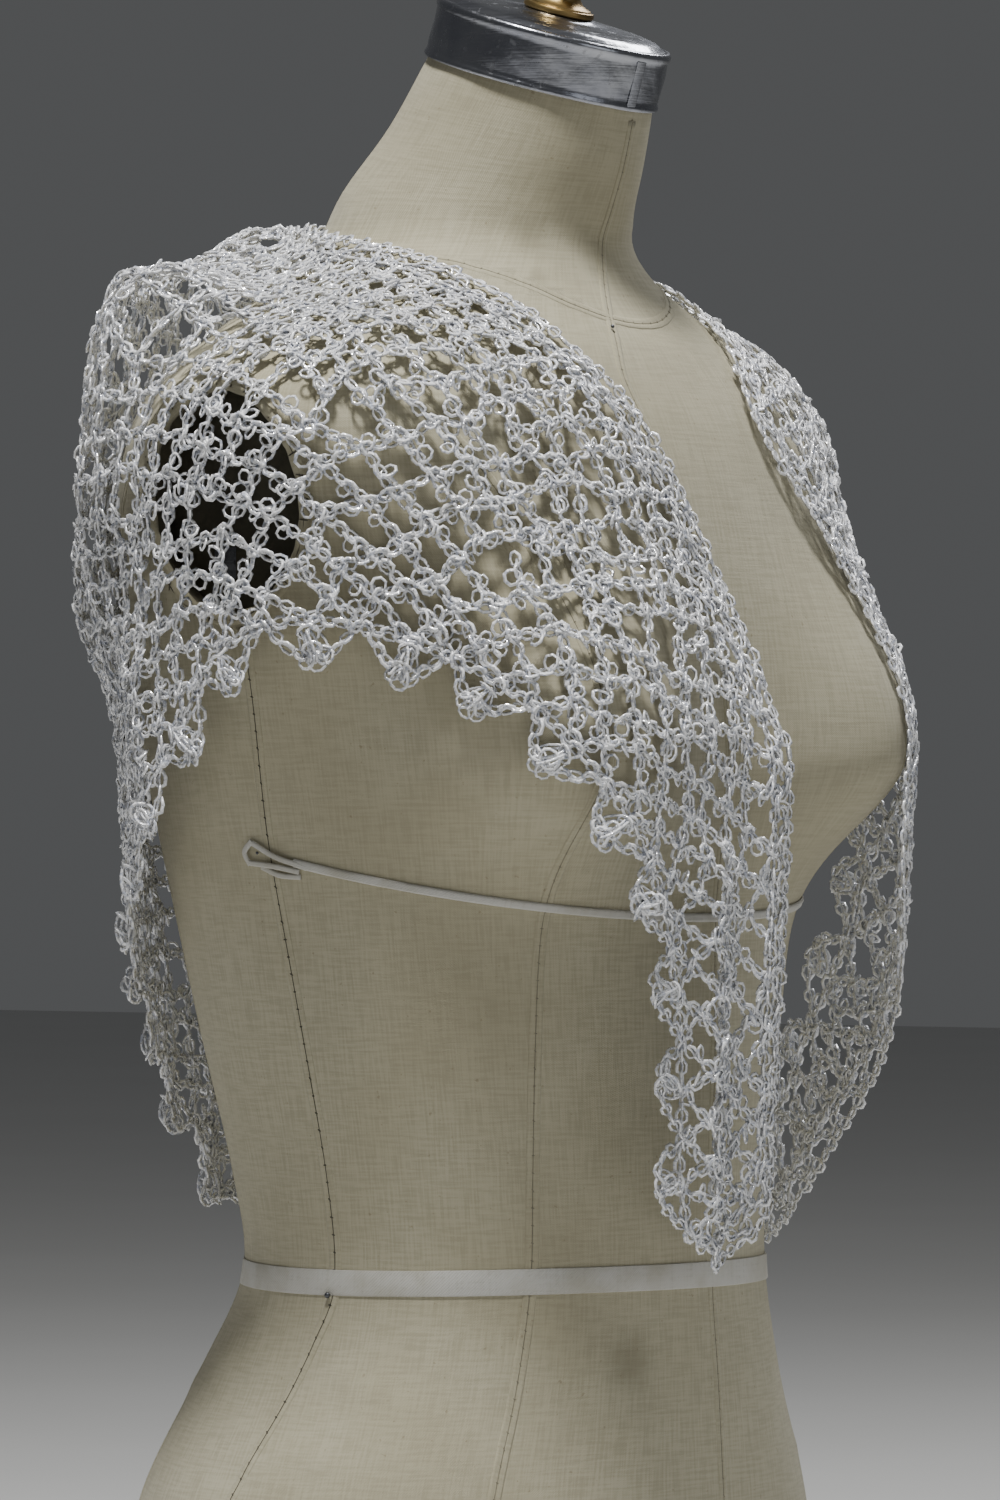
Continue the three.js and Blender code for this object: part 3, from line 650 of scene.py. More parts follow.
def strand(g, entry, curve):
    """Yarn along a curve. Three sides are enough for something a millimetre thick."""
    profile = g.add(
        "GeometryNodeCurvePrimitiveCircle", None, {"Resolution": 3, "Radius": entry.out("Yarn radius")}
    )
    inputs = {"Curve": curve, "Profile Curve": profile, "Fill Caps": True}
    tube = g.add("GeometryNodeCurveToMesh", None, inputs)
    return g.add("GeometryNodeSetShadeSmooth", None, {"Geometry": tube})


def vector_attribute(g, name):
    return g.add("GeometryNodeInputNamedAttribute", {"data_type": "FLOAT_VECTOR"}, {"Name": name})


def jitter(g, seed):
    """A random number from -1 to 1 at each point."""
    return g.add("FunctionNodeRandomValue", {"data_type": "FLOAT"}, {2: -1.0, 3: 1.0, 8: seed}, output=1)


def spaced_points(g, entry):
    """The guides as curves, and points along them at the pitch of the stitches."""
    lines = g.add("GeometryNodeMeshToCurve", None, {"Mesh": entry.out("Geometry")})
    inputs = {"Curve": lines, "Length": entry.out("Pitch")}
    return lines, g.add("GeometryNodeResampleCurve", {"mode": "LENGTH"}, inputs)


def turned(g, along, outward, tilt, swing):
    """A rotation that lays a loop's length along one way and its flat side outwards, then turns it."""
    rotation = g.add(
        "FunctionNodeAxesToRotation",
        {"primary_axis": "X", "secondary_axis": "Z"},
        {"Primary Axis": along, "Secondary Axis": outward},
    )
    euler = g.add("ShaderNodeCombineXYZ", None, [tilt, 0.0, swing])
    by = g.add("FunctionNodeEulerToRotation", None, [euler])
    return g.add(
        "FunctionNodeRotateRotation", {"rotation_space": "LOCAL"}, {"Rotation": rotation, "Rotate By": by}
    )


def finish_tree(g, points, loop, rotation, scale, material, spine=None):
    placed = g.add(
        "GeometryNodeInstanceOnPoints",
        None,
        {"Points": points, "Instance": loop, "Rotation": rotation, "Scale": scale},
    )
    real = g.add("GeometryNodeRealizeInstances", None, {"Geometry": placed})
    if spine is not None:
        both = g.add("GeometryNodeJoinGeometry", None, [spine])
        g.tree.links.new(real.socket, both.socket.node.inputs[0])
        real = both
    painted = g.add("GeometryNodeSetMaterial", None, {"Geometry": real})
    painted.socket.node.inputs["Material"].default_value = material
    g.add("NodeGroupOutput", None, {"Geometry": painted})


# %% [markdown]
# The chain tree lays loops along lines, turned to one side and the other in turn, over a thin spine of
# yarn that sways with them. The other tree lays one loop at each point, the way that the point says.

# %% Chain and single loops
def chain_tree(material):
    numbers = {"Pitch": 0.0043, "Half length": 0.0028, "Half width": 0.00202, "Yarn radius": 0.00072,
               "Turn": 0.5, "Unevenness": 0.32, "Spine sway": 0.0008, "Corners": 7}
    tree, g, entry = new_tree("chain_along_lines", numbers)
    _, points = spaced_points(g, entry)
    along = g.add("GeometryNodeInputTangent")
    side = g.add("GeometryNodeInputIndex").math("MODULO", 2.0) * 2 - 1
    uneven = entry.out("Unevenness")
    tilt = side * entry.out("Turn") + jitter(g, 3) * uneven
    swing = jitter(g, 5) * uneven * 0.5
    rotation = turned(g, along, vector_attribute(g, "outward"), tilt, swing)
    scale = 1 + jitter(g, 7) * uneven * 0.35
    sway = g.vector("SCALE", g.vector("CROSS_PRODUCT", vector_attribute(g, "outward"), along))
    g.tree.links.new((side * entry.out("Spine sway")).socket, sway.socket.node.inputs["Scale"])
    spine = g.add("GeometryNodeSetPosition", None, {"Geometry": points, "Offset": sway})
    finish_tree(g, points, loop_of_yarn(g, entry), rotation, scale, material, strand(g, entry, spine))
    return tree


def loops_tree(material):
    numbers = {"Half length": 0.0028, "Half width": 0.0023, "Yarn radius": 0.00064, "Unevenness": 0.3,
               "Corners": 8}
    tree, g, entry = new_tree("loops_at_points", numbers)
    uneven = entry.out("Unevenness")
    tilt = jitter(g, 11) * uneven
    swing = jitter(g, 13) * uneven
    rotation = turned(g, vector_attribute(g, "along"), vector_attribute(g, "outward"), tilt, swing)
    scale = 1 + jitter(g, 17) * uneven * 0.5
    finish_tree(g, entry.out("Geometry"), loop_of_yarn(g, entry), rotation, scale, material)
    return tree


CHAIN = chain_tree(yarn)
LOOPS = loops_tree(yarn)
print("trees:", CHAIN.name, "and", LOOPS.name)

# %% [markdown]
# A tree is run on guides, which are lines or points with the way out of the cloth at each of them, and
# what it makes is kept as a plain mesh. Such meshes are then joined into the finished pieces.

# %% Growing and joining
def grown(tree, *guides, **numbers):
    """The plain mesh that a Geometry Nodes tree makes from guides, given as guide_mesh takes them."""
    guide = bpy.data.objects.new("guide", guide_mesh(*guides))
    bpy.context.collection.objects.link(guide)
    modifier = guide.modifiers.new("grow", "NODES")
    modifier.node_group = tree
    sockets = {item.name: item.identifier for item in tree.interface.items_tree if item.in_out == "INPUT"}
    for label, value in numbers.items():
        modifier[sockets[label.replace("_", " ")]] = value
    evaluated = guide.evaluated_get(bpy.context.evaluated_depsgraph_get())
    result = bpy.data.meshes.new_from_object(evaluated)
    bpy.data.objects.remove(guide)
    return result


def guide_mesh(points, outward, along=None):
    """Guides in metres: lines where points has a row for each line, or loose points with a way to lie."""
    mesh = bpy.data.meshes.new("guide")
    flat = points.reshape(-1, 3) * MM
    edges = []
    if points.ndim == 3:
        count = points.shape[1]
        edges = [(i * count + j, i * count + j + 1) for i in range(len(points)) for j in range(count - 1)]
    mesh.from_pydata(flat.tolist(), edges, [])
    for label, values in (("outward", outward), ("along", along)):
        if values is not None:
            attribute = mesh.attributes.new(label, "FLOAT_VECTOR", "POINT")
            attribute.data.foreach_set("vector", values.reshape(-1, 3).astype(np.float32).ravel())
    return mesh


def finished(name, meshes, node=None, crisp=None):
    """One object at the origin from several meshes, which rides on the root body. A node's part from the
    model is hidden.
    """
    together = bmesh.new()
    for mesh in meshes:
        together.from_mesh(mesh)
    mesh = bpy.data.meshes.new(name)
    together.to_mesh(mesh)
    together.free()
    for material in meshes[0].materials:
        mesh.materials.append(material)
    if crisp is not None:
        mesh.set_sharp_from_angle(angle=math.radians(crisp))
    piece = bpy.data.objects.new(name, mesh)
    bpy.context.collection.objects.link(piece)
    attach(piece, "root")
    if node is not None:
        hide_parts(node)
    print(name, sum(len(p.vertices) - 2 for p in mesh.polygons), "triangles")
    return piece


# %% [markdown]
# The body of the shawl is a net of chain arches with diamond gaps: each knot is the middle of an arch that
# hangs from two knots of the next row up. The rows run parallel to the lower edge, as they do when a
# triangle is worked, so each row is found from the one below: halfway between its knots, and one row's
# height further into the cloth. A worker adds a stitch where the cloth has to widen and skips one where it
# narrows. The same rule is used here, so the stitches keep their size over the shoulders and at the neck.

# %% The net's knots
ROW = 8.8  # from one row of knots to the next
STITCH = 15.4  # between two knots of a row
BREAK = 2.1  # a wider gap than this many stitches isn't crossed
WIDENED = (1.3, 1.55)  # a gap of about so many stitches takes a stitch more
CLOSEST = 0.62  # of a stitch, between two knots of a row
PAST_EDGE = 1.3  # rows that a knot may lie outside the net
MOST_ROWS = 60
rng = np.random.default_rng(20)

edge = eighths(-REPEATS_PER_SIDE, REPEATS_PER_SIDE)
OUTLINE = np.concatenate([
    np.stack(place(edge, BAND), -1), np.stack(place(edge, net_length(edge)), -1)[::-1]
])
OUTLINE_POINTS = drape_point(OUTLINE[:, 0], OUTLINE[:, 1])


def is_inside(places):
    """Whether places lie within the net's outline, by how many of its sides a line to them crosses."""
    x, y = places[:, 0, None], places[:, 1, None]
    one, two = OUTLINE, np.roll(OUTLINE, -1, axis=0)
    crossed = (one[:, 1] > y) != (two[:, 1] > y)
    rise = np.where(one[:, 1] == two[:, 1], 1, two[:, 1] - one[:, 1])
    at = one[:, 0] + (y - one[:, 1]) * (two[:, 0] - one[:, 0]) / rise
    return ((x < at) & crossed).sum(axis=1) % 2 == 1


def nearest_outline(places):
    """The nearest place of the outline, and how far off it is."""
    points = drape_point(places[:, 0], places[:, 1])
    away = np.linalg.norm(points[:, None] - OUTLINE_POINTS[None], axis=-1)
    nearest = away.argmin(axis=1)
    return OUTLINE[nearest], away[np.arange(len(places)), nearest]


def flat_scale(places):
    """Millimetres for a degree and for a millimetre of drop, at each place."""
    radius = np.linalg.norm(drape_point(places[:, 0], places[:, 1])[:, :2], axis=-1)
    return np.stack([np.radians(radius), np.ones(len(places))], -1)


def next_row(row):
    """The places of the next row's knots."""
    scale = flat_scale(row)
    scale = (scale[:-1] + scale[1:]) / 2
    chord = np.diff(row, axis=0) * scale
    gap = np.linalg.norm(chord, axis=1) / STITCH
    way = unit(chord)
    inward = np.stack([-way[:, 1], way[:, 0]], -1)
    limits = rng.uniform(*WIDENED, len(gap))
    whole = gap < BREAK
    fresh = []
    for i in np.flatnonzero(whole):
        shares = [0.3, 0.7] if gap[i] > limits[i] else [0.5]
        if i == 0 or not whole[i - 1]:
            shares.insert(0, 0.5 - 1 / gap[i])
        if i == len(gap) - 1 or not whole[i + 1]:
            shares.append(0.5 + 1 / gap[i])
        for share in shares:
            middle = lerp(row[i], row[i + 1], share) + inward[i] * ROW / scale[i]
            fresh.append((middle, way[i], scale[i]))
    kept = []
    for middle, onward, size in fresh:
        step = (middle - kept[-1]) * size if kept else onward * STITCH
        length = np.linalg.norm(step)
        if step @ onward > 0.3 * length and length > CLOSEST * STITCH:
            kept.append(middle)
    kept = np.array(kept)
    if len(kept):
        kept = kept[is_inside(kept) | (nearest_outline(kept)[1] < PAST_EDGE * ROW)]
    return kept


def net_rows():
    rows = [np.stack(place(edge[::4], net_length(edge[::4])), -1)]
    while len(rows[-1]) > 1 and len(rows) < MOST_ROWS:
        rows.append(next_row(rows[-1]))
    return rows[:-1]


rows = net_rows()
print(len(rows), "rows,", sum(len(row) for row in rows), "knots")

# %% [markdown]
# No stitch is quite like the next, so every knot is moved a little before the arches are drawn from knot
# to knot. An arch that would run past the edge of the net follows it instead.

# %% The net's arches
SAMPLES = 9
KNOT_SHIFT = 1.7
KNOT_LIFT = (0.1, 0.35)  # how far a knot stands out: the mean and the spread
FAR_KNOT = 2.5  # rows, beyond which an arch doesn't reach for a knot above
CURVED = 0.25  # how much an arch is a curve and not two straight lines
CLEAR_OF_EDGE = 2.5
MOST_OUTSIDE = 0.7  # of an arch's points, or it is left out


def loosened(row, level):
    shift = rng.normal(0, KNOT_SHIFT, (len(row), 2)) / flat_scale(row) * (level > 0)
    return np.column_stack([row + shift, rng.normal(*KNOT_LIFT, len(row))])


def arches_between(row, above):
    """Each arch as three places: a knot of the row above, the knot it hangs to, and the next one above."""
    arches = []
    for i, knot in enumerate(row):
        scale = flat_scale(knot[None, :2])[0]
        one, two = row[max(i - 1, 0), :2] - knot[:2], row[min(i + 1, len(row) - 1), :2] - knot[:2]
        near = [v * scale for v in (-one, two) if 0 < np.linalg.norm(v * scale) < BREAK * STITCH]
        if not near:
            continue
        way = unit(np.mean(near, axis=0))
        inward = np.array([-way[1], way[0]])
        reach = (above[:, :2] - knot[:2]) * scale
        away = np.linalg.norm(reach, axis=1)
        ends = []
        for side in (-1, 1):
            found = (side * (reach @ way) > 0) & (away < FAR_KNOT * ROW) & (reach @ inward > 0)
            step = (side * way * STITCH / 2 + inward * ROW) / scale
            new_end = np.array([*(knot[:2] + step), KNOT_LIFT[0]])
            ends.append(above[np.where(found, away, np.inf).argmin()] if found.any() else new_end)
        arches.append((ends[0], knot, ends[1]))
    return arches


def arch_lines(arches):
    """Points along arches, between a bent line and a curve through the three knots."""
    s = np.linspace(0, 1, SAMPLES)[None, :, None]
    start, middle, end = (arches[:, i, None] for i in range(3))
    bent = np.where(s < 0.5, lerp(start, middle, 2 * s), lerp(middle, end, 2 * s - 1))
    control = 2 * middle - (start + end) / 2
    curve = (1 - s) ** 2 * start + 2 * s * (1 - s) * control + s**2 * end
    return lerp(bent, curve, CURVED)


loose = [loosened(row, level) for level, row in enumerate(rows)]
pairs = zip(loose[:-1], loose[1:])
arches = np.array([arch for row, above in pairs for arch in arches_between(row, above)])
clear = nearest_outline(arches[:, 1, :2])[1] > CLEAR_OF_EDGE
arches = arches[(is_inside(arches[:, 1, :2]) & clear) | (np.arange(len(arches)) < len(rows[0]))]
lines = arch_lines(arches)
flat = lines.reshape(-1, 3)
outside = ~is_inside(flat[:, :2])
flat[outside, :2] = nearest_outline(flat[outside, :2])[0]
lines = flat.reshape(lines.shape)
lines = lines[outside.reshape(lines.shape[:2]).mean(axis=1) < MOST_OUTSIDE]
knots = lines[:, SAMPLES // 2]
net_points, net_outward = skin(lines[..., 0], lines[..., 1], lines[..., 2])
widths = np.linalg.norm(net_points[:, -1] - net_points[:, 0], axis=1)
print(len(lines), "arches,", np.percentile(widths, [5, 50, 95]).round(1).tolist(), "mm wide")

# %% [markdown]
# Each arch carries small picots, which are short rings of three chains: one at its middle and one on each
# side of it. They fill the gaps with the light, uneven texture that the shawl has all over.

# %% Picots
PICOT_REACH = 2.7
PICOT_SHARES = (0.27, 0.5, 0.73)
PICOT_DRIFT = 0.05
PICOT_TURN = 0.7
PICOT_FAN = 2.4  # how much further apart the outer picots of an arch turn
PICOT_LEAN = 0.8
UPWARDS_SHARE = 0.3
PICOT_SEED = 40


def lie_of_cloth(centre, outward, below):
    """The way down the cloth and the way across it."""
    fall = unit(below - centre)
    return fall, np.cross(outward, fall)


def facing(way, outward, lean):
    """Where a ring's flat side faces when it leans over about its own length."""
    return unit(outward * np.cos(lean) + np.cross(way, outward) * np.sin(lean))


def picots(lines, seed):
    """Rings beside three places of each arch, in ways that lie in the cloth."""
    draw = np.random.default_rng(seed)
    points, ways, flats = [], [], []
    for share in PICOT_SHARES:
        at = np.clip(share + draw.normal(0, PICOT_DRIFT, len(lines)), 0, 1) * (SAMPLES - 1)
        low = np.minimum(at.astype(int), SAMPLES - 2)
        order = np.arange(len(lines))
        spot = lerp(lines[order, low], lines[order, low + 1], (at - low)[:, None])
        centre, outward = skin(*spot.T)
        below, _ = skin(spot[:, 0], spot[:, 1] + 2, spot[:, 2])
        fall, across = lie_of_cloth(centre, outward, below)
        turn = (draw.normal(0, PICOT_TURN, len(lines)) + (share - 0.5) * PICOT_FAN)[:, None]
        way = fall * np.cos(turn) + across * np.sin(turn)
        way = way * np.where(draw.random(len(lines)) < UPWARDS_SHARE, -1, 1)[:, None]
        lean = draw.uniform(-PICOT_LEAN, PICOT_LEAN, len(lines))[:, None]
        reach = PICOT_REACH * draw.uniform(0.75, 1.15, len(lines))[:, None]
        points.append(centre + way * reach + outward * draw.uniform(-0.2, 0.9, len(lines))[:, None])
        ways.append(way)
        flats.append(facing(way, outward, lean))
    return np.concatenate(points), np.concatenate(flats), np.concatenate(ways)


# %% [markdown]
# The net is one cloth, but it is made in stretches. Each stretch stands for the wall of the same stretch in
# the model.

# %% Stretches of the net
STRETCHES = {
    "net_front_left": (-18.1, -12),
    "net_shoulder_left": (-12, -7),
    "net_back_left": (-7, -3),
    "net_back_middle": (-3, 3),
    "net_back_right": (3, 7),
    "net_shoulder_right": (7, 12),
    "net_front_right": (12, 18.1),
}


def repeats_of(places):
    """How many scallops from the middle each place is, from the nearest of many lines of the net."""
    shares = np.linspace(0, 1, 41)[None]
    lines = np.stack(place(edge[:, None], shares * net_length(edge)[:, None]), -1)
    spots = drape_point(lines[..., 0], lines[..., 1]).reshape(-1, 3)
    tree = KDTree(len(spots))
    for i, spot in enumerate(spots):
        tree.insert(spot, i)
    tree.balance()
    points = drape_point(places[:, 0], places[:, 1])
    return np.array([edge[tree.find(point)[1] // shares.size] for point in points])


knot_repeats = repeats_of(knots)
net_pieces, picot_pieces = [], []
for i, (node, (low, high)) in enumerate(STRETCHES.items()):
    here = (knot_repeats >= low) & (knot_repeats < high)
    chain = grown(CHAIN, net_points[here], net_outward[here])
    rings = grown(LOOPS, *picots(lines[here], PICOT_SEED + i))
    net_pieces.append(finished(f"lace_{node}", [chain], node))
    picot_pieces.append(finished(f"lace_{node.replace('net', 'picots')}", [rings], node))

# %% [markdown]
# The long edge is finished with an open band: a rail of chain where the net ends, a zigzag of chain
# across, and an outer row of larger, rounder loops.

# %% The band along the long edge
SIDES = {"back": (-7, 7), "right": (7, 18), "left": (-18, -7)}
FRONT_STARTS = 9
CHAIN_LIFT = 0.2
RAIL_DOWN = 2.6
ZIGZAG_TOP = 4.6
END_SAMPLES = 12
EDGE_LOOP = {"Pitch": 0.0053, "Half_length": 0.0024, "Half_width": 0.0023, "Turn": 0.25}


def chain_along(repeats, down, **numbers):
    """Chain along one line of the cloth."""
    points, outward = cloth(repeats, down, CHAIN_LIFT)
    return grown(CHAIN, points[None], outward[None], **numbers)


def zigzag(low, high):
    """Chain to and fro across the band, with closer turns along the fronts."""
    stops = [low]
    while stops[-1] < high - 0.01:
        on_front = stops[-1] >= FRONT_STARTS or stops[-1] < -FRONT_STARTS
        stops.append(stops[-1] + (0.25 if on_front else 0.5))
    order = np.arange(len(stops))
    turns = np.where(order % 2 == 0, ZIGZAG_TOP, BAND - 1)
    along = np.linspace(0, len(stops) - 1, 4 * (len(stops) - 1) + 1)
    return chain_along(np.interp(along, order, stops), np.interp(along, order, turns))


band_pieces = []
for side, (low, high) in SIDES.items():
    fine = eighths(low, high)
    meshes = [chain_along(fine, RAIL_DOWN, **EDGE_LOOP), chain_along(fine, BAND), zigzag(low, high)]
    for end in (low, high):
        if abs(end) == REPEATS_PER_SIDE:
            down = np.linspace(RAIL_DOWN, float(net_length(float(end))), END_SAMPLES)
            meshes.append(chain_along(np.full(END_SAMPLES, float(end)), down, **EDGE_LOOP))
    band_pieces.append(finished(f"lace_edge_band_{side}", meshes, f"edge_band_{side}"))

# %% [markdown]
# The two lower edges carry a scalloped border. Each scallop is a few chains down to a bobble and a few
# back up to the net, and the bobble is a puff: long loops drawn up together and closed at both ends. Its
# rings are laid by a small table of places, so that every bobble is full and round, and none is the same.

# %% The scalloped border
BOBBLE_DOWN = 9.5  # from the net's edge to the middle of a bobble
BOBBLE_LIFT = 0.9
BOBBLE_SLANT = 0.25
RING_TURN = 9
RING_LEAN = 12
SCALLOP_DEPTH = 11.5
LONG_SEED = 60
ROUND_SEED = 70
# For each ring: how far down, aside and out from the bobble's middle, its turn and its lean in degrees
LONG_RINGS = (
    (-0.4, -2.5, 0.5, -13, 38),
    (-0.2, 2.5, 0.4, 15, -42),
    (0.2, 0.2, 1.9, 3, 84),
    (0.3, -0.3, -0.7, -4, 8),
)
ROUND_RINGS = (
    (4.0, -2.9, 0.5, -48, 24),
    (4.2, 2.8, 0.7, 52, -20),
    (5.6, 0, 1.3, 6, 12),
    (1.0, 0, 2.2, 80, 30),
    (-4.6, 0.4, 1.0, 84, 58),
)
LONG_RING = {"Half_length": 0.0059, "Half_width": 0.0027, "Corners": 12, "Unevenness": 0.14}
ROUND_RING = {"Half_length": 0.0034, "Half_width": 0.003, "Corners": 10, "Unevenness": 0.22}


def scallop_lines(starts):
    """The chains of each scallop, down to its bobble from both sides."""
    s = np.linspace(0, 1, 6)
    repeats, beyond = [], []
    for turn in (1, -1):
        for k in starts:
            near = k if turn > 0 else k + 1
            repeats.append(near + turn * (0.05 + 0.34 * s))
            beyond.append(1 + SCALLOP_DEPTH * np.sin(s * math.pi / 2) ** 1.2)
    repeats, beyond = np.array(repeats), np.array(beyond)
    repeats = np.clip(repeats, -REPEATS_PER_SIDE, REPEATS_PER_SIDE)
    return cloth(repeats, net_length(repeats) + beyond, 0.3)


def bobble_rings(starts, rings, seed):
    """One kind of ring of all bobbles. A bobble leans a little to one side or the other."""
    draw = np.random.default_rng(seed)
    middle = np.array(starts, float) + 0.5
    down = net_length(middle) + BOBBLE_DOWN
    centre, outward = cloth(middle, down, BOBBLE_LIFT)
    lower, _ = cloth(middle, down + 6, BOBBLE_LIFT)
    fall, across = lie_of_cloth(centre, outward, lower)
    slant = np.random.default_rng(len(starts)).normal(0, BOBBLE_SLANT, len(middle))[:, None]
    cos, sin = np.cos(slant), np.sin(slant)
    fall, across = fall * cos + across * sin, across * cos - fall * sin
    points, ways, flats = [], [], []
    for down, aside, out, turn, lean in rings:
        turn = np.radians(turn + draw.normal(0, RING_TURN, len(middle)))[:, None]
        lean = np.radians(lean + draw.normal(0, RING_LEAN, len(middle)))[:, None]
        way = fall * np.cos(turn) + across * np.sin(turn)
        points.append(centre + fall * down + across * aside + outward * out)
        ways.append(way)
        flats.append(facing(way, outward, lean))
    return np.concatenate(points), np.concatenate(flats), np.concatenate(ways)


border_pieces = []
for i, (side, (low, high)) in enumerate(SIDES.items()):
    starts = np.arange(low, high)
    fine = eighths(low, high)
    meshes = [
        grown(CHAIN, *scallop_lines(starts)),
        chain_along(fine, net_length(fine) + 0.8),
        grown(LOOPS, *bobble_rings(starts, LONG_RINGS, LONG_SEED + i), **LONG_RING),
        grown(LOOPS, *bobble_rings(starts, ROUND_RINGS, ROUND_SEED + i), **ROUND_RING),
    ]
    border_pieces.append(finished(f"lace_border_{side}", meshes, f"border_{side}"))

# %% [markdown]
# The dress form is built next. Its pieces are skins through rows of points, or an outline carried along a
# path, and both are a grid of points. Each piece gets a UV map in metres, so that a weave keeps its size.

# %% Skins and sweeps
def measured(grid):
    """How far along and across a grid each point lies, in millimetres."""
    along = np.linalg.norm(np.diff(grid, axis=0), axis=-1).mean(axis=1)
    across = np.linalg.norm(np.diff(grid, axis=1), axis=-1).mean(axis=0)
    runs = [np.concatenate([[0], np.cumsum(steps)]) for steps in (along, across)]
    return np.stack(np.meshgrid(*runs, indexing="ij"), -1)


def grid_mesh(grid, material, places=None, ring=False):
    """Quads over rows of points that each close on themselves. In a ring the last row meets the first."""
    rows, columns = grid.shape[:2]
    i, j = np.meshgrid(np.arange(rows if ring else rows - 1), np.arange(columns), indexing="ij")
    right, up = (j + 1) % columns, (i + 1) % rows
    corners = (i * columns + j, i * columns + right, up * columns + right, up * columns + j)
    faces = np.stack(corners, -1).reshape(-1, 4).tolist()
    if not ring:
        faces += [list(range(columns))[::-1], list(range((rows - 1) * columns, rows * columns))]
    if places is None:
        wrapped = np.concatenate([grid, grid[:, :1]], axis=1)
        places = measured(np.concatenate([wrapped, wrapped[:1]]) if ring else wrapped)
    mesh = bpy.data.meshes.new("skin")
    mesh.from_pydata((grid.reshape(-1, 3) * MM).tolist(), [], faces)
    values = np.zeros((len(mesh.loops), 2))
    spots = np.stack([places[i, j], places[i, j + 1], places[i + 1, j + 1], places[i + 1, j]], axis=2)
    values[: spots.size // 2] = spots.reshape(-1, 2) * MM
    mesh.uv_layers.new(name="weave").data.foreach_set("uv", values.ravel())
    mesh.materials.append(material)
    outside_out(mesh)
    return mesh


def outside_out(mesh):
    shell = bmesh.new()
    shell.from_mesh(mesh)
    bmesh.ops.recalc_face_normals(shell, faces=shell.faces)
    shell.to_mesh(mesh)
    shell.free()
    mesh.shade_smooth()


def swept(points, outward, outline, material, ring=False):
    """An outline carried along a path. Its corners are so far to the side of the path and so far out."""
    if ring:
        ahead = np.roll(points, -1, axis=0) - np.roll(points, 1, axis=0)
    else:
        ahead = np.gradient(points, axis=0)
    along = unit(ahead)
    aside = unit(np.cross(along, outward))
    outline = np.asarray(outline, float)
    sideways = aside[:, None] * outline[..., :1]
    raised = np.cross(aside, along)[:, None] * outline[..., 1:]
    return grid_mesh(points[:, None] + sideways + raised, material, ring=ring)


def turned_round(profile, sides):
    """A profile of radii and heights, turned round the z axis."""
    turn = np.radians(np.arange(sides) * -360 / sides)
    profile = np.asarray(profile, float)
    x, y = (profile[:, :1] * wave(turn)[None] for wave in (np.sin, np.cos))
    return np.stack([x, y, np.broadcast_to(profile[:, 1:], x.shape)], -1)


# %% [markdown]
# The canvas is unbleached linen, yellowed with age. Close up it is a plain weave with slubs, which are
# thicker places in the threads. From further off one sees faint streaks both ways and soft stains. The
# threads follow the UV map and the stains follow the object's own space.

# %% Canvas, thread and tape
THREAD = 0.0007
STAINS = ((23, 186, 0.016, 0.55), (37, 587, 0.012, 0.45), (29, 571, 0.007, 0.3), (-60, 150, 0.02, 0.4),
          (150, 120, 0.024, 0.5), (-128, 262, 0.018, 0.35))


def weave(g, thread):
    """Threads both ways over a UV map in metres, and the slow unevenness of hand-spun yarn."""
    place = g.add("ShaderNodeUVMap", {"uv_map": "weave"})
    parts = g.add("ShaderNodeSeparateXYZ", None, [place])
    per_metre = 2 * math.pi / thread
    over = (parts.out("X") * per_metre).math("SINE") * (parts.out("Y") * per_metre).math("SINE")
    slubs = [g.noise(g.vector("MULTIPLY", place, size), 1, 3) for size in ((60, 900, 1), (900, 60, 1))]
    return place, over, (slubs[0] + slubs[1]) * 0.5


def canvas_material():
    material, g, feed = new_material("aged_canvas", Specular_IOR_Level=0.25, Sheen_Weight=0.12)
    _, over, slubs = weave(g, THREAD)
    place = g.add("ShaderNodeTexCoord", output="Object")
    clouds = g.noise(place, 9, 4)
    body = g.mix(g.band(clouds, 0.35, 0.7), (0.5, 0.47, 0.345), (0.43, 0.395, 0.275))
    body = g.mix(g.band(slubs, 0.4, 0.62) * 0.55, body, (0.33, 0.3, 0.205))
    specks = g.band(g.noise(place, 420, 2), 0.7, 0.76)
    for angle, height, reach, depth in STAINS:
        spot = tuple(form_point(angle, height) * MM)
        away = g.add("ShaderNodeVectorMath", {"operation": "DISTANCE"}, [place, spot], output=1)
        ragged = away + (clouds - 0.5) * 0.012
        body = g.mix(g.band(ragged, reach, 0.0) * depth, body, (0.22, 0.2, 0.13))
    feed("Base Color", g.mix(specks * 0.5, body, (0.24, 0.2, 0.12)))
    feed("Roughness", 0.8 + clouds * 0.15)
    feed("Normal", bump(g, over * 0.35 + slubs * 1.6, 0.5, 0.00025))
    return material


def plain_material(name, one, other, scale, roughness, height, **constants):
    """A mottled finish: two colours, an uneven gloss and a fine relief."""
    material, g, feed = new_material(name, **constants)
    place = g.add("ShaderNodeTexCoord", output="Object")
    mottle = g.noise(place, scale, 5)
    grain = g.noise(place, scale * 12, 2)
    feed("Base Color", g.mix(g.band(mottle * 0.7 + grain * 0.3, 0.38, 0.62), one, other))
    feed("Roughness", roughness + (grain - 0.5) * 0.25)
    feed("Normal", bump(g, mottle + grain * 0.4, 0.6, height))
    return material


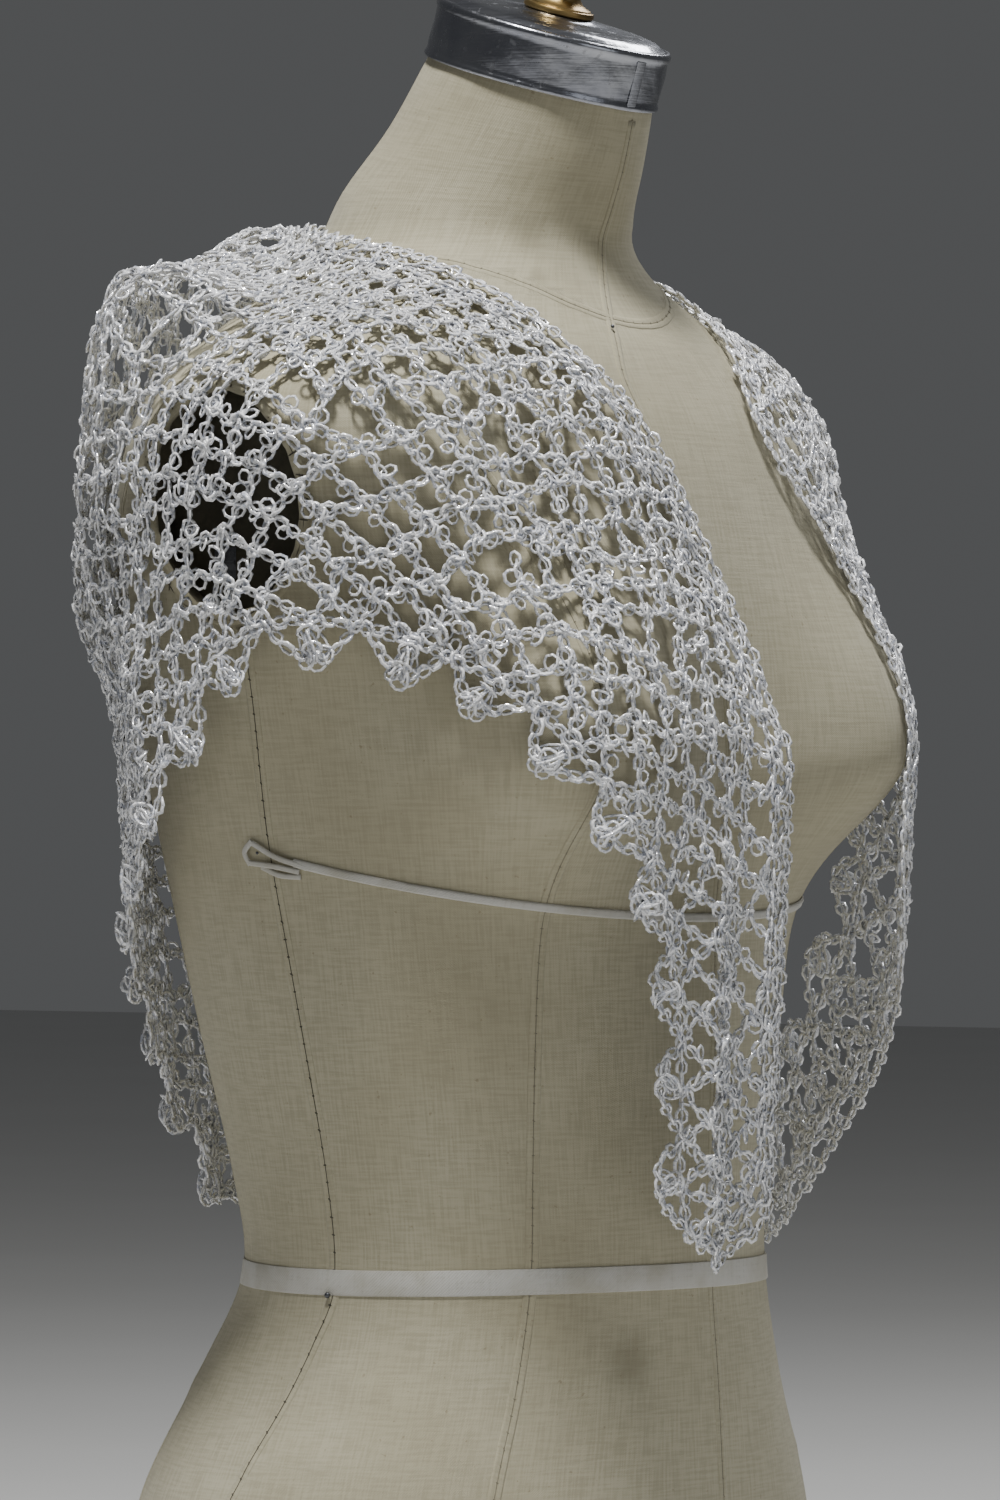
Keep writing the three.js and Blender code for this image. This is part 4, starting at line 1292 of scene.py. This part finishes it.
def tape_material():
    material, g, feed = new_material("cotton_tape", Specular_IOR_Level=0.3, Sheen_Weight=0.15)
    place, over, slubs = weave(g, 0.0009)
    parts = g.add("ShaderNodeSeparateXYZ", None, [place])
    twill = ((parts.out("X") + parts.out("Y")) * (2 * math.pi / 0.0012)).math("SINE")
    soil = g.noise(g.add("ShaderNodeTexCoord", output="Object"), 45, 4)
    body = g.mix(g.band(soil, 0.4, 0.7), (0.58, 0.57, 0.53), (0.47, 0.45, 0.38))
    feed("Base Color", g.mix(g.band(slubs, 0.5, 0.7) * 0.4, body, (0.36, 0.34, 0.28)))
    feed("Roughness", 0.78 + soil * 0.15)
    feed("Normal", bump(g, twill * 0.5 + over * 0.2 + slubs, 0.5, 0.0002))
    return material


canvas = canvas_material()
tape = tape_material()
thread = plain_material("dark_thread", (0.05, 0.045, 0.03), (0.1, 0.09, 0.065), 300, 0.8, 0.0002)
pale_thread = plain_material("pale_thread", (0.17, 0.155, 0.11), (0.26, 0.24, 0.17), 300, 0.8, 0.0002)
lining = plain_material("papier_mache", (0.14, 0.125, 0.085), (0.21, 0.19, 0.13), 60, 0.85, 0.001)
print("finishes of the cloth:", canvas.name, tape.name, thread.name, lining.name)

# %% [markdown]
# The body is one skin from the base to the top of the neck, fine enough that its outline is smooth. The
# canvas is stretched over padding, so it isn't quite even, and at the hips it has a few lazy creases.
# The bottom edge is turned under. Each armhole is an oval hole in the skin with a dark lining inside.

# %% Canvas body
BODY_SIDES = 190
BODY_STEP = 3.4
BASE_ROUND = 4
NECK_COLUMN = {"half_width": 70, "half_depth": 62, "y": 5}
BODY_RADIUS = 130
NECK_RADIUS = 47
# From an angle and a height to another, how far a crease stands out and how wide it is
CREASES = (
    (90, 183, 67, 173, 0.7, 4),
    (94, 156, 78, 151, 0.5, 3.5),
    (108, 150, 98, 141, -0.6, 4),
    (51, 196, 50, 170, 0.5, 3),
    (28, 160, 14, 166, 0.4, 4),
    (-70, 176, -94, 186, 0.6, 4),
    (-30, 150, -52, 146, 0.5, 4),
    (150, 178, 128, 170, 0.6, 4.5),
    (-152, 160, -131, 171, 0.6, 4),
    (88, 300, 74, 292, 0.35, 4),
    (60, 590, 30, 578, 0.3, 3.5),
    (-50, 600, -20, 592, 0.3, 3.5),
)


def padding(angle, height):
    """How far the padded canvas stands out or sinks, in millimetres."""
    turn = np.radians(angle)
    rise = 0.3 * np.sin(3 * turn + height / 41) * np.sin(height / 29 + 2 * turn)
    rise = rise + 0.12 * np.sin(8 * turn - height / 17)
    per_degree = math.radians(BODY_RADIUS)
    for from_angle, from_height, to_angle, to_height, depth, width in CREASES:
        run = np.array([(to_angle - from_angle) * per_degree, to_height - from_height])
        spot = np.stack(np.broadcast_arrays((angle - from_angle) * per_degree, height - from_height), -1)
        share = np.clip(spot @ run / (run @ run), 0, 1)
        away = np.linalg.norm(spot - share[..., None] * run, axis=-1) / width
        rise = rise + depth * np.exp(-(away**2)) * np.sin(math.pi * np.clip(share, 0.15, 0.85))
    return rise


def canvas_skin(angle, height, lift=0.0):
    """Points over the canvas at some angles and heights, and the outward directions there."""
    angle, height = np.broadcast_arrays(np.asarray(angle, float), height)
    point = form_point(angle, height, padding(angle, height))
    round_it = form_point(angle + 1, height) - form_point(angle - 1, height)
    upwards = form_point(angle, height + 2) - form_point(angle, height - 2)
    outward = unit(np.cross(upwards, round_it))
    return point + outward * lift, outward


def neck_seam(angle):
    """Heights at which the shoulders reach the neck's upright column."""
    heights = np.arange(WAIST + 335, WAIST + 405, 1.5)
    point = form_point(np.asarray(angle, float)[..., None], heights)
    across = point[..., 0] / NECK_COLUMN["half_width"]
    out = np.hypot(across, (point[..., 1] - NECK_COLUMN["y"]) / NECK_COLUMN["half_depth"])
    return heights[(out < 1).argmax(axis=-1)]


# %% [markdown]
# The skin is one grid of points, rounded under at the foot. Each armhole is cut through it as an oval, with
# a wall inwards and a flat floor, which have the lining's finish.

# %% Body and armhole openings
MANY = 100000  # more than the vertices of the body


def body_mesh():
    foot = BASE_ROUND * (1 - np.cos(np.radians([15, 40, 65, 90])))
    upright = np.arange(BASE_ROUND + BODY_STEP, NECK_TOP - 1, BODY_STEP)
    heights = np.concatenate([[0], foot, upright, [NECK_TOP]])
    angles = np.linspace(180, -180, BODY_SIDES + 1)
    height, angle = heights[:, None], angles[None, :-1]
    under = np.sqrt(np.maximum(BASE_ROUND**2 - np.maximum(BASE_ROUND - height, 0) ** 2, 0)) - BASE_ROUND
    grid = form_point(angle, height, padding(angle, height) + under)
    height, angle = np.broadcast_arrays(heights[:, None], angles[None])
    radius = np.where(height > neck_seam(angles)[None], NECK_RADIUS, BODY_RADIUS)
    return grid_mesh(grid, canvas, np.stack([np.radians(angle) * radius, height], -1))


def oval(y, z):
    """How far out in the armhole's oval a place is: 1 on its edge."""
    across = (y - ARMHOLE["y"]) / ARMHOLE["half_width"]
    return np.hypot(across, (z - ARMHOLE["height"]) / ARMHOLE["half_height"])


def armhole_edge(turn):
    """Points of the form's skin on the edge of its right armhole, and the outward directions."""
    y = ARMHOLE["y"] + ARMHOLE["half_width"] * np.cos(turn)
    z = ARMHOLE["height"] + ARMHOLE["half_height"] * np.sin(turn)
    return side_skin(y, z)


def side_skin(y, z):
    middle = smooth(FORM_SECTIONS, CENTRE_Y, z - WAIST)
    depths = [smooth(FORM_SECTIONS, column, z - WAIST) for column in (FRONT, BACK)]
    back = y > middle
    angle = 90 + np.degrees(np.arcsin((y - middle) / np.where(back, depths[1], depths[0])))
    point, outward = canvas_skin(angle, z)
    return np.stack([point[..., 0], y, z], -1), outward


def hole_edge(body, side):
    """The vertices round the hole on one side, in order from the highest, first towards the back."""
    edge = [max((v for v in body.verts if v.is_boundary and v.co.x * side > 0), key=lambda v: v.co.z)]
    while True:
        beside = [e.other_vert(edge[-1]) for e in edge[-1].link_edges if e.is_boundary]
        beside = [v for v in beside if v not in edge]
        if not beside:
            return edge
        edge.append(max(beside, key=lambda v: v.co.y))


def face_order(face):
    """A number for a face from its three lowest vertices. Blender makes the walls in no fixed order."""
    one, two, three = sorted(vertex.index for vertex in face.verts)[:3]
    return (one * MANY + two) * MANY + three


def cut_armholes(mesh):
    body = bmesh.new()
    body.from_mesh(mesh)
    inside = [f for f in body.faces
              if abs(f.calc_center_median().x) > 0.1
              and max(oval(v.co.y / MM, v.co.z / MM) for v in f.verts) < 1.02]
    bmesh.ops.delete(body, geom=inside, context="FACES")
    rim = [e for e in body.edges if e.is_boundary]
    for vertex in {v for e in rim for v in e.verts}:
        y, z = vertex.co.y / MM, vertex.co.z / MM
        out = oval(y, z)
        y, z = lerp(ARMHOLE["y"], y, 1 / out), lerp(ARMHOLE["height"], z, 1 / out)
        point, _ = side_skin(np.array(y), np.array(z))
        vertex.co = (math.copysign(point[0], vertex.co.x) * MM, y * MM, z * MM)
    walls = bmesh.ops.extrude_edge_only(body, edges=rim)["geom"]
    for vertex in (v for v in walls if isinstance(v, bmesh.types.BMVert)):
        vertex.co.x = math.copysign(ARMHOLE["floor_x"] * MM, vertex.co.x)
    for face in (f for f in walls if isinstance(f, bmesh.types.BMFace)):
        face.material_index = 1
    uv = body.loops.layers.uv["weave"]
    for side in (-1, 1):
        top, *others = hole_edge(body, side)
        for one, two in zip(others, others[1:]):
            face = body.faces.new((top, one, two))
            face.material_index = 1
            for loop in face.loops:
                loop[uv].uv = loop.vert.co.yz
    bmesh.ops.recalc_face_normals(body, faces=body.faces)
    body.verts.index_update()
    body.faces.sort(key=face_order)
    body.to_mesh(mesh)
    body.free()


body = body_mesh()
body.materials.append(lining)
cut_armholes(body)
finished("form_canvas", [body], "form_torso", crisp=50)

# %% [markdown]
# The canvas is sewn from panels. A seam shows as a thin dark line of thread in a shallow groove, with the
# turned edges beneath it raised a little on both sides, and every few millimetres a small hand stitch
# crosses it. The raised strip is swept along the seam and Geometry Nodes lay the thread and its stitches.

# %% Seams
# Heights and angles along each seam. The paired ones are on both sides of the form.
PAIRED_SEAMS = (
    ((5, 104), (130, 103), (193, 94), (212, 91), (290, 93), (366, 96), (420, 95), (446, 95)),
    ((5, 50), (130, 48), (215, 46), (337, 41), (400, 35), (450, 36), (505, 44), (538, 60)),
    ((5, 139), (130, 140), (215, 143), (330, 141), (420, 138), (490, 128), (532, 112)),
)
SINGLE_SEAMS = (
    ((5, 0), (215, 0), (400, 2), (480, 6), (534, 11), (556, 9), (586, 2), (642, 0)),
    ((5, 180), (400, 180), (642, 180)),
)
SEAM_STEP = 3
WELT = ((-2.6, -0.5), (-2.6, 0.02), (-1.9, 0.22), (-0.6, 0.3), (0, 0.06),
        (0.6, 0.3), (1.9, 0.22), (2.6, 0.02), (2.6, -0.5))


def stitch_tree(material):
    numbers = {"Pitch": 0.0062, "Stitch length": 0.0019, "Stitch width": 0.0007, "Yarn radius": 0.00024,
               "Swing": 1.1, "Unevenness": 0.25}
    tree, g, entry = new_tree("thread_and_stitches", numbers)
    lines, points = spaced_points(g, entry)
    knot = g.add("GeometryNodeMeshUVSphere", None, {"Segments": 6, "Rings": 4, "Radius": 0.5})
    knot = g.add("GeometryNodeSetShadeSmooth", None, {"Geometry": knot})
    uneven = entry.out("Unevenness")
    swing = entry.out("Swing") + jitter(g, 23) * uneven * 2
    rotation = turned(g, g.add("GeometryNodeInputTangent"), vector_attribute(g, "outward"), 0.0, swing)
    size = 1 + jitter(g, 29) * uneven
    width = entry.out("Stitch width")
    scale = g.add("ShaderNodeCombineXYZ", None, [entry.out("Stitch length") * size, width, width])
    finish_tree(g, points, knot, rotation, scale, material, strand(g, entry, lines))
    return tree


STITCHES = stitch_tree(thread)
PALE_STITCHES = stitch_tree(pale_thread)
seam_paths = []
for rows_of_seam, sides in [(s, (1, -1)) for s in PAIRED_SEAMS] + [(s, (1,)) for s in SINGLE_SEAMS]:
    table = np.array(rows_of_seam, float)
    heights = np.arange(table[0, 0], table[-1, 0] + 1, SEAM_STEP)
    seam_paths += [(smooth(table, 1, heights) * side, heights) for side in sides]
round_neck = np.arange(-180, 180, 4.0)

welts, threads = [], []
for angles, heights in seam_paths:
    welts.append(swept(*canvas_skin(angles, heights), WELT, canvas))
    path, outward = canvas_skin(angles, heights, 0.12)
    kind = {} if len(threads) < 2 else {"Yarn_radius": 0.00017, "Stitch_width": 0.0005}
    tree = PALE_STITCHES if kind else STITCHES
    threads.append(grown(tree, path[None], outward[None], **kind))
neck_heights = neck_seam(round_neck)
neck_heights = sum(np.roll(neck_heights, shift) for shift in range(-2, 3)) / 5
welts.append(swept(*canvas_skin(round_neck, neck_heights), WELT, canvas, ring=True))
path, outward = canvas_skin(np.append(round_neck, 180.0), np.append(neck_heights, neck_heights[0]), 0.12)
threads.append(grown(PALE_STITCHES, path[None], outward[None]))
finished("form_seam_welts", welts)
finished("form_side_seam_thread", threads[:2])
finished("form_seam_thread", threads[2:])

# %% [markdown]
# Round each armhole the canvas is turned in over a cord and puckers, because its edge has to become
# shorter. The roll is swept round the oval with a radius that swells and shrinks, and stitches hold it.
# A dark board closes the bottom of the hole, with the small steel plate that an arm hooks into.

# %% Armholes
ROLL = 2.0
PUCKERS = 23
ROLL_SIDES = 10
ROLL_STEPS = 150
ROLL_STITCH = {"Pitch": 0.0078, "Stitch_length": 0.0042, "Swing": 1.45}
# How far out from a board's middle, as a share, and how far up from its back
BOARD_EDGE = ((0.3, 0), (0.985, 0), (0.998, 0.15), (1, 0.5), (1, 2.4), (0.99, 2.8), (0.97, 3), (0.3, 3))
# Width, height, thickness and place up the plate, of the hook plate and its ribs
PLATES = ((9, 11, 0.35, 0), (8, 1.1, 0.8, 3.4), (8, 1.1, 0.8, 0), (8, 1.1, 0.8, -3.4))
PLATE_PLACE = (31, 469)


def armhole_roll(side):
    turn = np.linspace(0, 2 * math.pi, ROLL_STEPS, endpoint=False)
    point, outward = armhole_edge(turn)
    inward = unit(np.stack([0 * turn, ARMHOLE["y"] - point[:, 1], ARMHOLE["height"] - point[:, 2]], -1))
    point = point + inward * 0.6 - outward * 0.9
    size = ROLL * (1 + 0.22 * np.abs(np.sin(PUCKERS * turn / 2 + 0.4 * np.sin(3 * turn))))
    around = np.linspace(0, 2 * math.pi, ROLL_SIDES, endpoint=False)
    circle = np.stack([np.cos(around), np.sin(around)], -1)
    mirror = np.array([side, 1, 1])
    outlines = circle * size[:, None, None]
    roll = swept(point * mirror, outward * mirror, outlines, canvas, ring=True)
    held = np.append(np.arange(0, ROLL_STEPS, 5), 0)
    lifted = (point + outward * ROLL * 1.02)[held] * mirror
    return roll, grown(STITCHES, lifted[None], (outward * mirror)[held][None], **ROLL_STITCH)


def armhole_board(side):
    """An oval board with rounded edges, standing upright at the bottom of its hole."""
    turn = np.linspace(0, 2 * math.pi, 64, endpoint=False)
    rows = []
    for share, depth in BOARD_EDGE:
        reach = [share * (ARMHOLE[key] - 0.6) for key in ("half_width", "half_height")]
        y, z = ARMHOLE["y"] + reach[0] * np.cos(turn), ARMHOLE["height"] + reach[1] * np.sin(turn)
        rows.append(np.stack([0 * turn + side * (ARMHOLE["floor_x"] + 0.35 + depth), y, z], -1))
    return grid_mesh(np.array(rows), board)


def hook_plate(side):
    """A small steel plate with raised ribs across it."""
    meshes = []
    for wide, high, rise, up in PLATES:
        rows = []
        for share, depth in ((0.92, 0), (1, 0.1), (1, rise - 0.15), (0.9, rise)):
            y = PLATE_PLACE[0] + np.array([-1, 1, 1, -1]) * share * wide / 2
            z = PLATE_PLACE[1] + up + np.array([-1, -1, 1, 1]) * share * high / 2
            rows.append(np.stack([np.full(4, side * (ARMHOLE["floor_x"] + 3.3 + depth)), y, z], -1))
        meshes.append(grid_mesh(np.array(rows), iron))
    return meshes


board = plain_material("dusty_board", (0.045, 0.04, 0.026), (0.085, 0.078, 0.052), 40, 0.8, 0.0006)
iron = plain_material("dull_iron", (0.1, 0.105, 0.115), (0.18, 0.185, 0.2), 120, 0.4, 0.0002, Metallic=0.9)
for side, name in ((-1, "left"), (1, "right")):
    roll, stitches = armhole_roll(side)
    finished(f"form_armhole_roll_{name}", [roll])
    finished(f"form_armhole_stitches_{name}", [stitches])
    node = f"form_armhole_board_{name}"
    finished(f"form_board_{name}", [armhole_board(-side)], node, crisp=40)
    finished(f"form_hook_plate_{name}", hook_plate(-side), crisp=30)

# %% [markdown]
# Two tapes mark the body. A twill tape lies round the waist and is pinned at the side seams. A narrow cord
# tape runs under the bust from side to side, and its ends are doubled back in a loose loop and pinned.

# %% Tapes and pins
TAPE_HALF = 4.6
TAPE_OUTLINE = ((-TAPE_HALF, 0.1), (-TAPE_HALF + 0.1, 0.7), (-TAPE_HALF + 0.5, 0.85), (0, 0.75),
                (TAPE_HALF - 0.5, 0.85), (TAPE_HALF - 0.1, 0.7), (TAPE_HALF, 0.1), (0, 0.05))
CORD_OUTLINE = ((-1.6, 0.1), (-1.45, 0.75), (-0.7, 1.15), (0, 0.95),
                (0.7, 1.15), (1.45, 0.75), (1.6, 0.1), (0, 0))
BUST_TAPE_END = 96
PIN_SIDES = 16
# Each strand of the knotted end: angles, heights and how far it stands out, at its start, middle and end
LOOP_STRANDS = (
    ((88, 361.6, 0.6), (94, 365.5, 1.6), (99.2, 370.5, 1.2)),
    ((90, 360.4, 0.9), (95, 362.6, 2.0), (100.4, 363.4, 1.0)),
    ((90, 358.4, 0.2), (94, 359.2, 1.2), (97.6, 362.2, 1.6)),
    ((99.4, 371.2, 0.9), (101.2, 367.4, 1.6), (100.6, 362.6, 0.9)),
)
# Angle, height and radius of each pin's head
PINS = ((92, 210, 1.1), (-92, 211, 1.1), (180, 212, 1.1), (10, 554, 0.8),
        (98.5, 367, 0.6), (-98.5, 367, 0.6))


def bust_tape_height(angle):
    return WAIST + 148 - 20 * np.cos(np.radians(angle))


def waist_tape():
    angles = np.arange(-180, 180, 2.5)
    heights = WAIST + 0.35 * np.sin(np.radians(3 * angles))
    return swept(*canvas_skin(angles, heights), TAPE_OUTLINE, tape, ring=True)


def bust_tape():
    angles = np.arange(-BUST_TAPE_END + 4, BUST_TAPE_END - 3.9, 1.5)
    path = canvas_skin(angles, bust_tape_height(angles), 0.3)
    meshes = [swept(*path, CORD_OUTLINE, tape)]
    for side in (1, -1):
        for strand_of_loop in LOOP_STRANDS:
            table = np.column_stack([[0, 0.5, 1], strand_of_loop])
            at = np.linspace(0, 1, 12)
            angle, height, lift = (smooth(table, column, at) for column in (1, 2, 3))
            point, outward = canvas_skin(angle * side, height)
            point = point + outward * lift[:, None]
            narrow = np.array(CORD_OUTLINE) * (0.62, 0.7)
            meshes.append(swept(point, outward, narrow, tape))
    return meshes


def pin_head(angle, height, radius):
    rows = []
    for tilt in np.radians([-80, -50, -20, 10, 40, 65, 84]):
        rows.append((radius * math.cos(tilt), radius * (0.55 + 0.8 * math.sin(tilt))))
    grid = turned_round(rows, PIN_SIDES)
    point, outward = canvas_skin(np.array(float(angle)), np.array(float(height)), 0.9)
    side = unit(np.cross(outward, [0, 0, 1]))
    up = np.cross(side, outward)
    placed = grid[..., :1] * side + grid[..., 1:2] * up + grid[..., 2:] * outward + point
    return grid_mesh(placed, iron)


finished("form_waist_tape_twill", [waist_tape()], "form_waist_tape", crisp=50)
finished("form_bust_tape_cord", bust_tape(), "form_bust_tape", crisp=60)
finished("form_pins", [pin_head(*pin) for pin in PINS])

# %% [markdown]
# The neck ends in a spun steel cap with a rolled rim, a hemmed lower edge, a lap seam and the dents and
# scratches of long use. A brass knob stands on it. Both are turned shapes on the neck's own axis, which
# leans forward, so they are made upright first and then put on the neck.

# %% Cap and knob
CAP_SIDES = 120
KNOB_SIDES = 64
NECK_TILT = math.atan(NECK_LEAN)
NECK_AXIS_Y = -15
CAP_LAP_ANGLE = 7
CAP_PROFILE = [(0.5, 0.6), (42.3, 0.6), (42.3, -0.4), (42.7, -0.8), (43.3, -0.8), (43.7, -0.3), (43.7, 0.5),
               (43.4, 1.2), (43.1, 1.8)]
CAP_PROFILE += [(43.1 + 0.18 * math.sin(math.pi * (z - 1.8) / 15.2), z) for z in np.arange(3, 16.5, 1.4)]
CAP_PROFILE += [(43.1, 17), (43.4, 17.5), (43.7, 18.2), (43.8, 19), (43.6, 19.9), (43, 20.6), (42.2, 20.8),
                (41.5, 20.6), (41, 20.5), (40.2, 20.9), (38.5, 22.2), (36, 22.9), (30, 23.5), (20, 24.2),
                (14.2, 24.5), (13.8, 24.9), (10, 25), (0.5, 25)]
KNOB_SEAT = 25.3
KNOB_PROFILE = [(0.5, 0), (12.5, 0), (13, 0.5), (13, 1.6), (12.6, 2.2), (11.6, 2.5), (11.4, 3), (10, 3.5),
                (8.2, 4.5), (7, 6), (6.3, 8), (6.1, 9.4), (6.9, 9.8), (7, 10.3), (6.3, 10.8), (6.7, 12.2),
                (8.4, 14), (10.3, 16), (11.6, 18.4), (12, 21), (11.6, 23.5), (10.4, 25.9), (8.4, 28),
                (5.6, 29.3), (3, 29.9), (0.5, 30)]


def on_neck(points):
    """Puts points, whose z axis is the neck's axis, in their place on the neck."""
    x, y, z = (points[..., i] for i in range(3))
    lean, rise = math.sin(NECK_TILT), math.cos(NECK_TILT)
    return np.stack([x, NECK_AXIS_Y + y * rise - z * lean, NECK_TOP + y * lean + z * rise], -1)


def metal_material(name, one, other, roughness, scratch):
    """Worn metal: clouded, with fine scratches that run round it and small dents."""
    material, g, feed = new_material(name, Metallic=1.0)
    place = g.add("ShaderNodeTexCoord", output="Object")
    clouds = g.noise(place, 45, 4)
    scratches = g.noise(g.vector("MULTIPLY", place, (60, 60, 1500)), 1, 2)
    marks = g.band(g.noise(place, 260, 3), 0.6, 0.7)
    body = g.mix(g.band(clouds, 0.35, 0.65), one, other)
    feed("Base Color", g.mix(marks * 0.5, body, tuple(0.55 * v for v in one)))
    feed("Roughness", roughness + clouds * 0.18 + marks * 0.15 + scratches * scratch)
    feed("Normal", bump(g, clouds * 1.4 + scratches * 0.12, 0.35, 0.0016))
    return material


steel = metal_material("worn_steel", (0.42, 0.43, 0.46), (0.3, 0.31, 0.35), 0.08, 0.12)
brass = metal_material("dull_brass", (0.5, 0.36, 0.15), (0.3, 0.2, 0.08), 0.22, 0.1)

cap = turned_round(CAP_PROFILE, CAP_SIDES)
cap_turn = np.arctan2(cap[..., 0], cap[..., 1])
wall = np.exp(-(((cap[..., 2] - 9.5) / 5.5) ** 4)) * (np.hypot(cap[..., 0], cap[..., 1]) > 42.8)
dent = 0.16 * np.sin(7 * cap_turn + cap[..., 2] / 5) + 0.12 * np.sin(17 * cap_turn - cap[..., 2] / 3)
cap[..., :2] *= (1 + wall * dent / 43)[..., None]
lap_heights = np.linspace(0.6, 17.4, 12)
lap_turn = math.radians(CAP_LAP_ANGLE)
lap_out = np.broadcast_to([-math.sin(lap_turn), -math.cos(lap_turn), 0], (12, 3))
lap_path = lap_out * 43.1 + np.stack([0 * lap_heights, 0 * lap_heights, lap_heights], -1)
lap_outline = ((-2.6, -0.6), (-2.6, 0.25), (-2.2, 0.5), (1.6, 0.42), (2.4, 0.2), (2.6, -0.6))
lap = swept(on_neck(lap_path), on_neck(lap_out) - on_neck(0 * lap_out), lap_outline, steel)
shell = grid_mesh(on_neck(cap), steel)
finished("form_cap_steel", [shell, lap], "form_neck_cap", crisp=50)

knob = turned_round(KNOB_PROFILE, KNOB_SIDES)
knob[..., 2] += KNOB_SEAT
finished("form_knob_brass", [grid_mesh(on_neck(knob), brass)], "form_cap_knob", crisp=35)

# %% [markdown]
# Cloth has a size of its own, whatever it hangs on. The shawl is worked in one piece, so for each stretch
# of the net the width, the depth and the area that it has when it is laid flat are worked out and printed.
# These are measured over the surface that the stitches follow. Picots, band and border are gathered with
# their stretches, and the sum of the areas is printed.

# %% The cloth's flat size
def flat_size(low, high):
    """Width, depth and area in metres of the net between two numbers of scallops."""
    low, high = max(low, -REPEATS_PER_SIDE), min(high, REPEATS_PER_SIDE)
    repeats = np.linspace(low, high, 41)[:, None]
    points = cloth(repeats, lerp(BAND, net_length(repeats), np.linspace(0, 1, 41)[None]))[0] * MM
    along, across = np.diff(points, axis=0), np.diff(points, axis=1)
    area = np.linalg.norm(np.cross(along[:, :-1], across[:-1]), axis=-1).sum()
    width, depth = (np.linalg.norm(steps, axis=-1).sum(axis=axis).max()
                    for axis, steps in enumerate((along, across)))
    return float(width), float(depth), float(area)


TRIMS = {"net_back_middle": 0, "net_front_right": 1, "net_front_left": 2}
whole_area = 0
for piece, rings, (node, limits) in zip(net_pieces, picot_pieces, STRETCHES.items()):
    width, depth, area = flat_size(*limits)
    trims = [rings]
    if node in TRIMS:
        trims += [band_pieces[TRIMS[node]], border_pieces[TRIMS[node]]]
    whole_area += area
    print(piece.name, round(width, 3), "by", round(depth, 3), "m,", round(area, 4), "square metres")
print("whole net", round(whole_area, 4), "square metres")
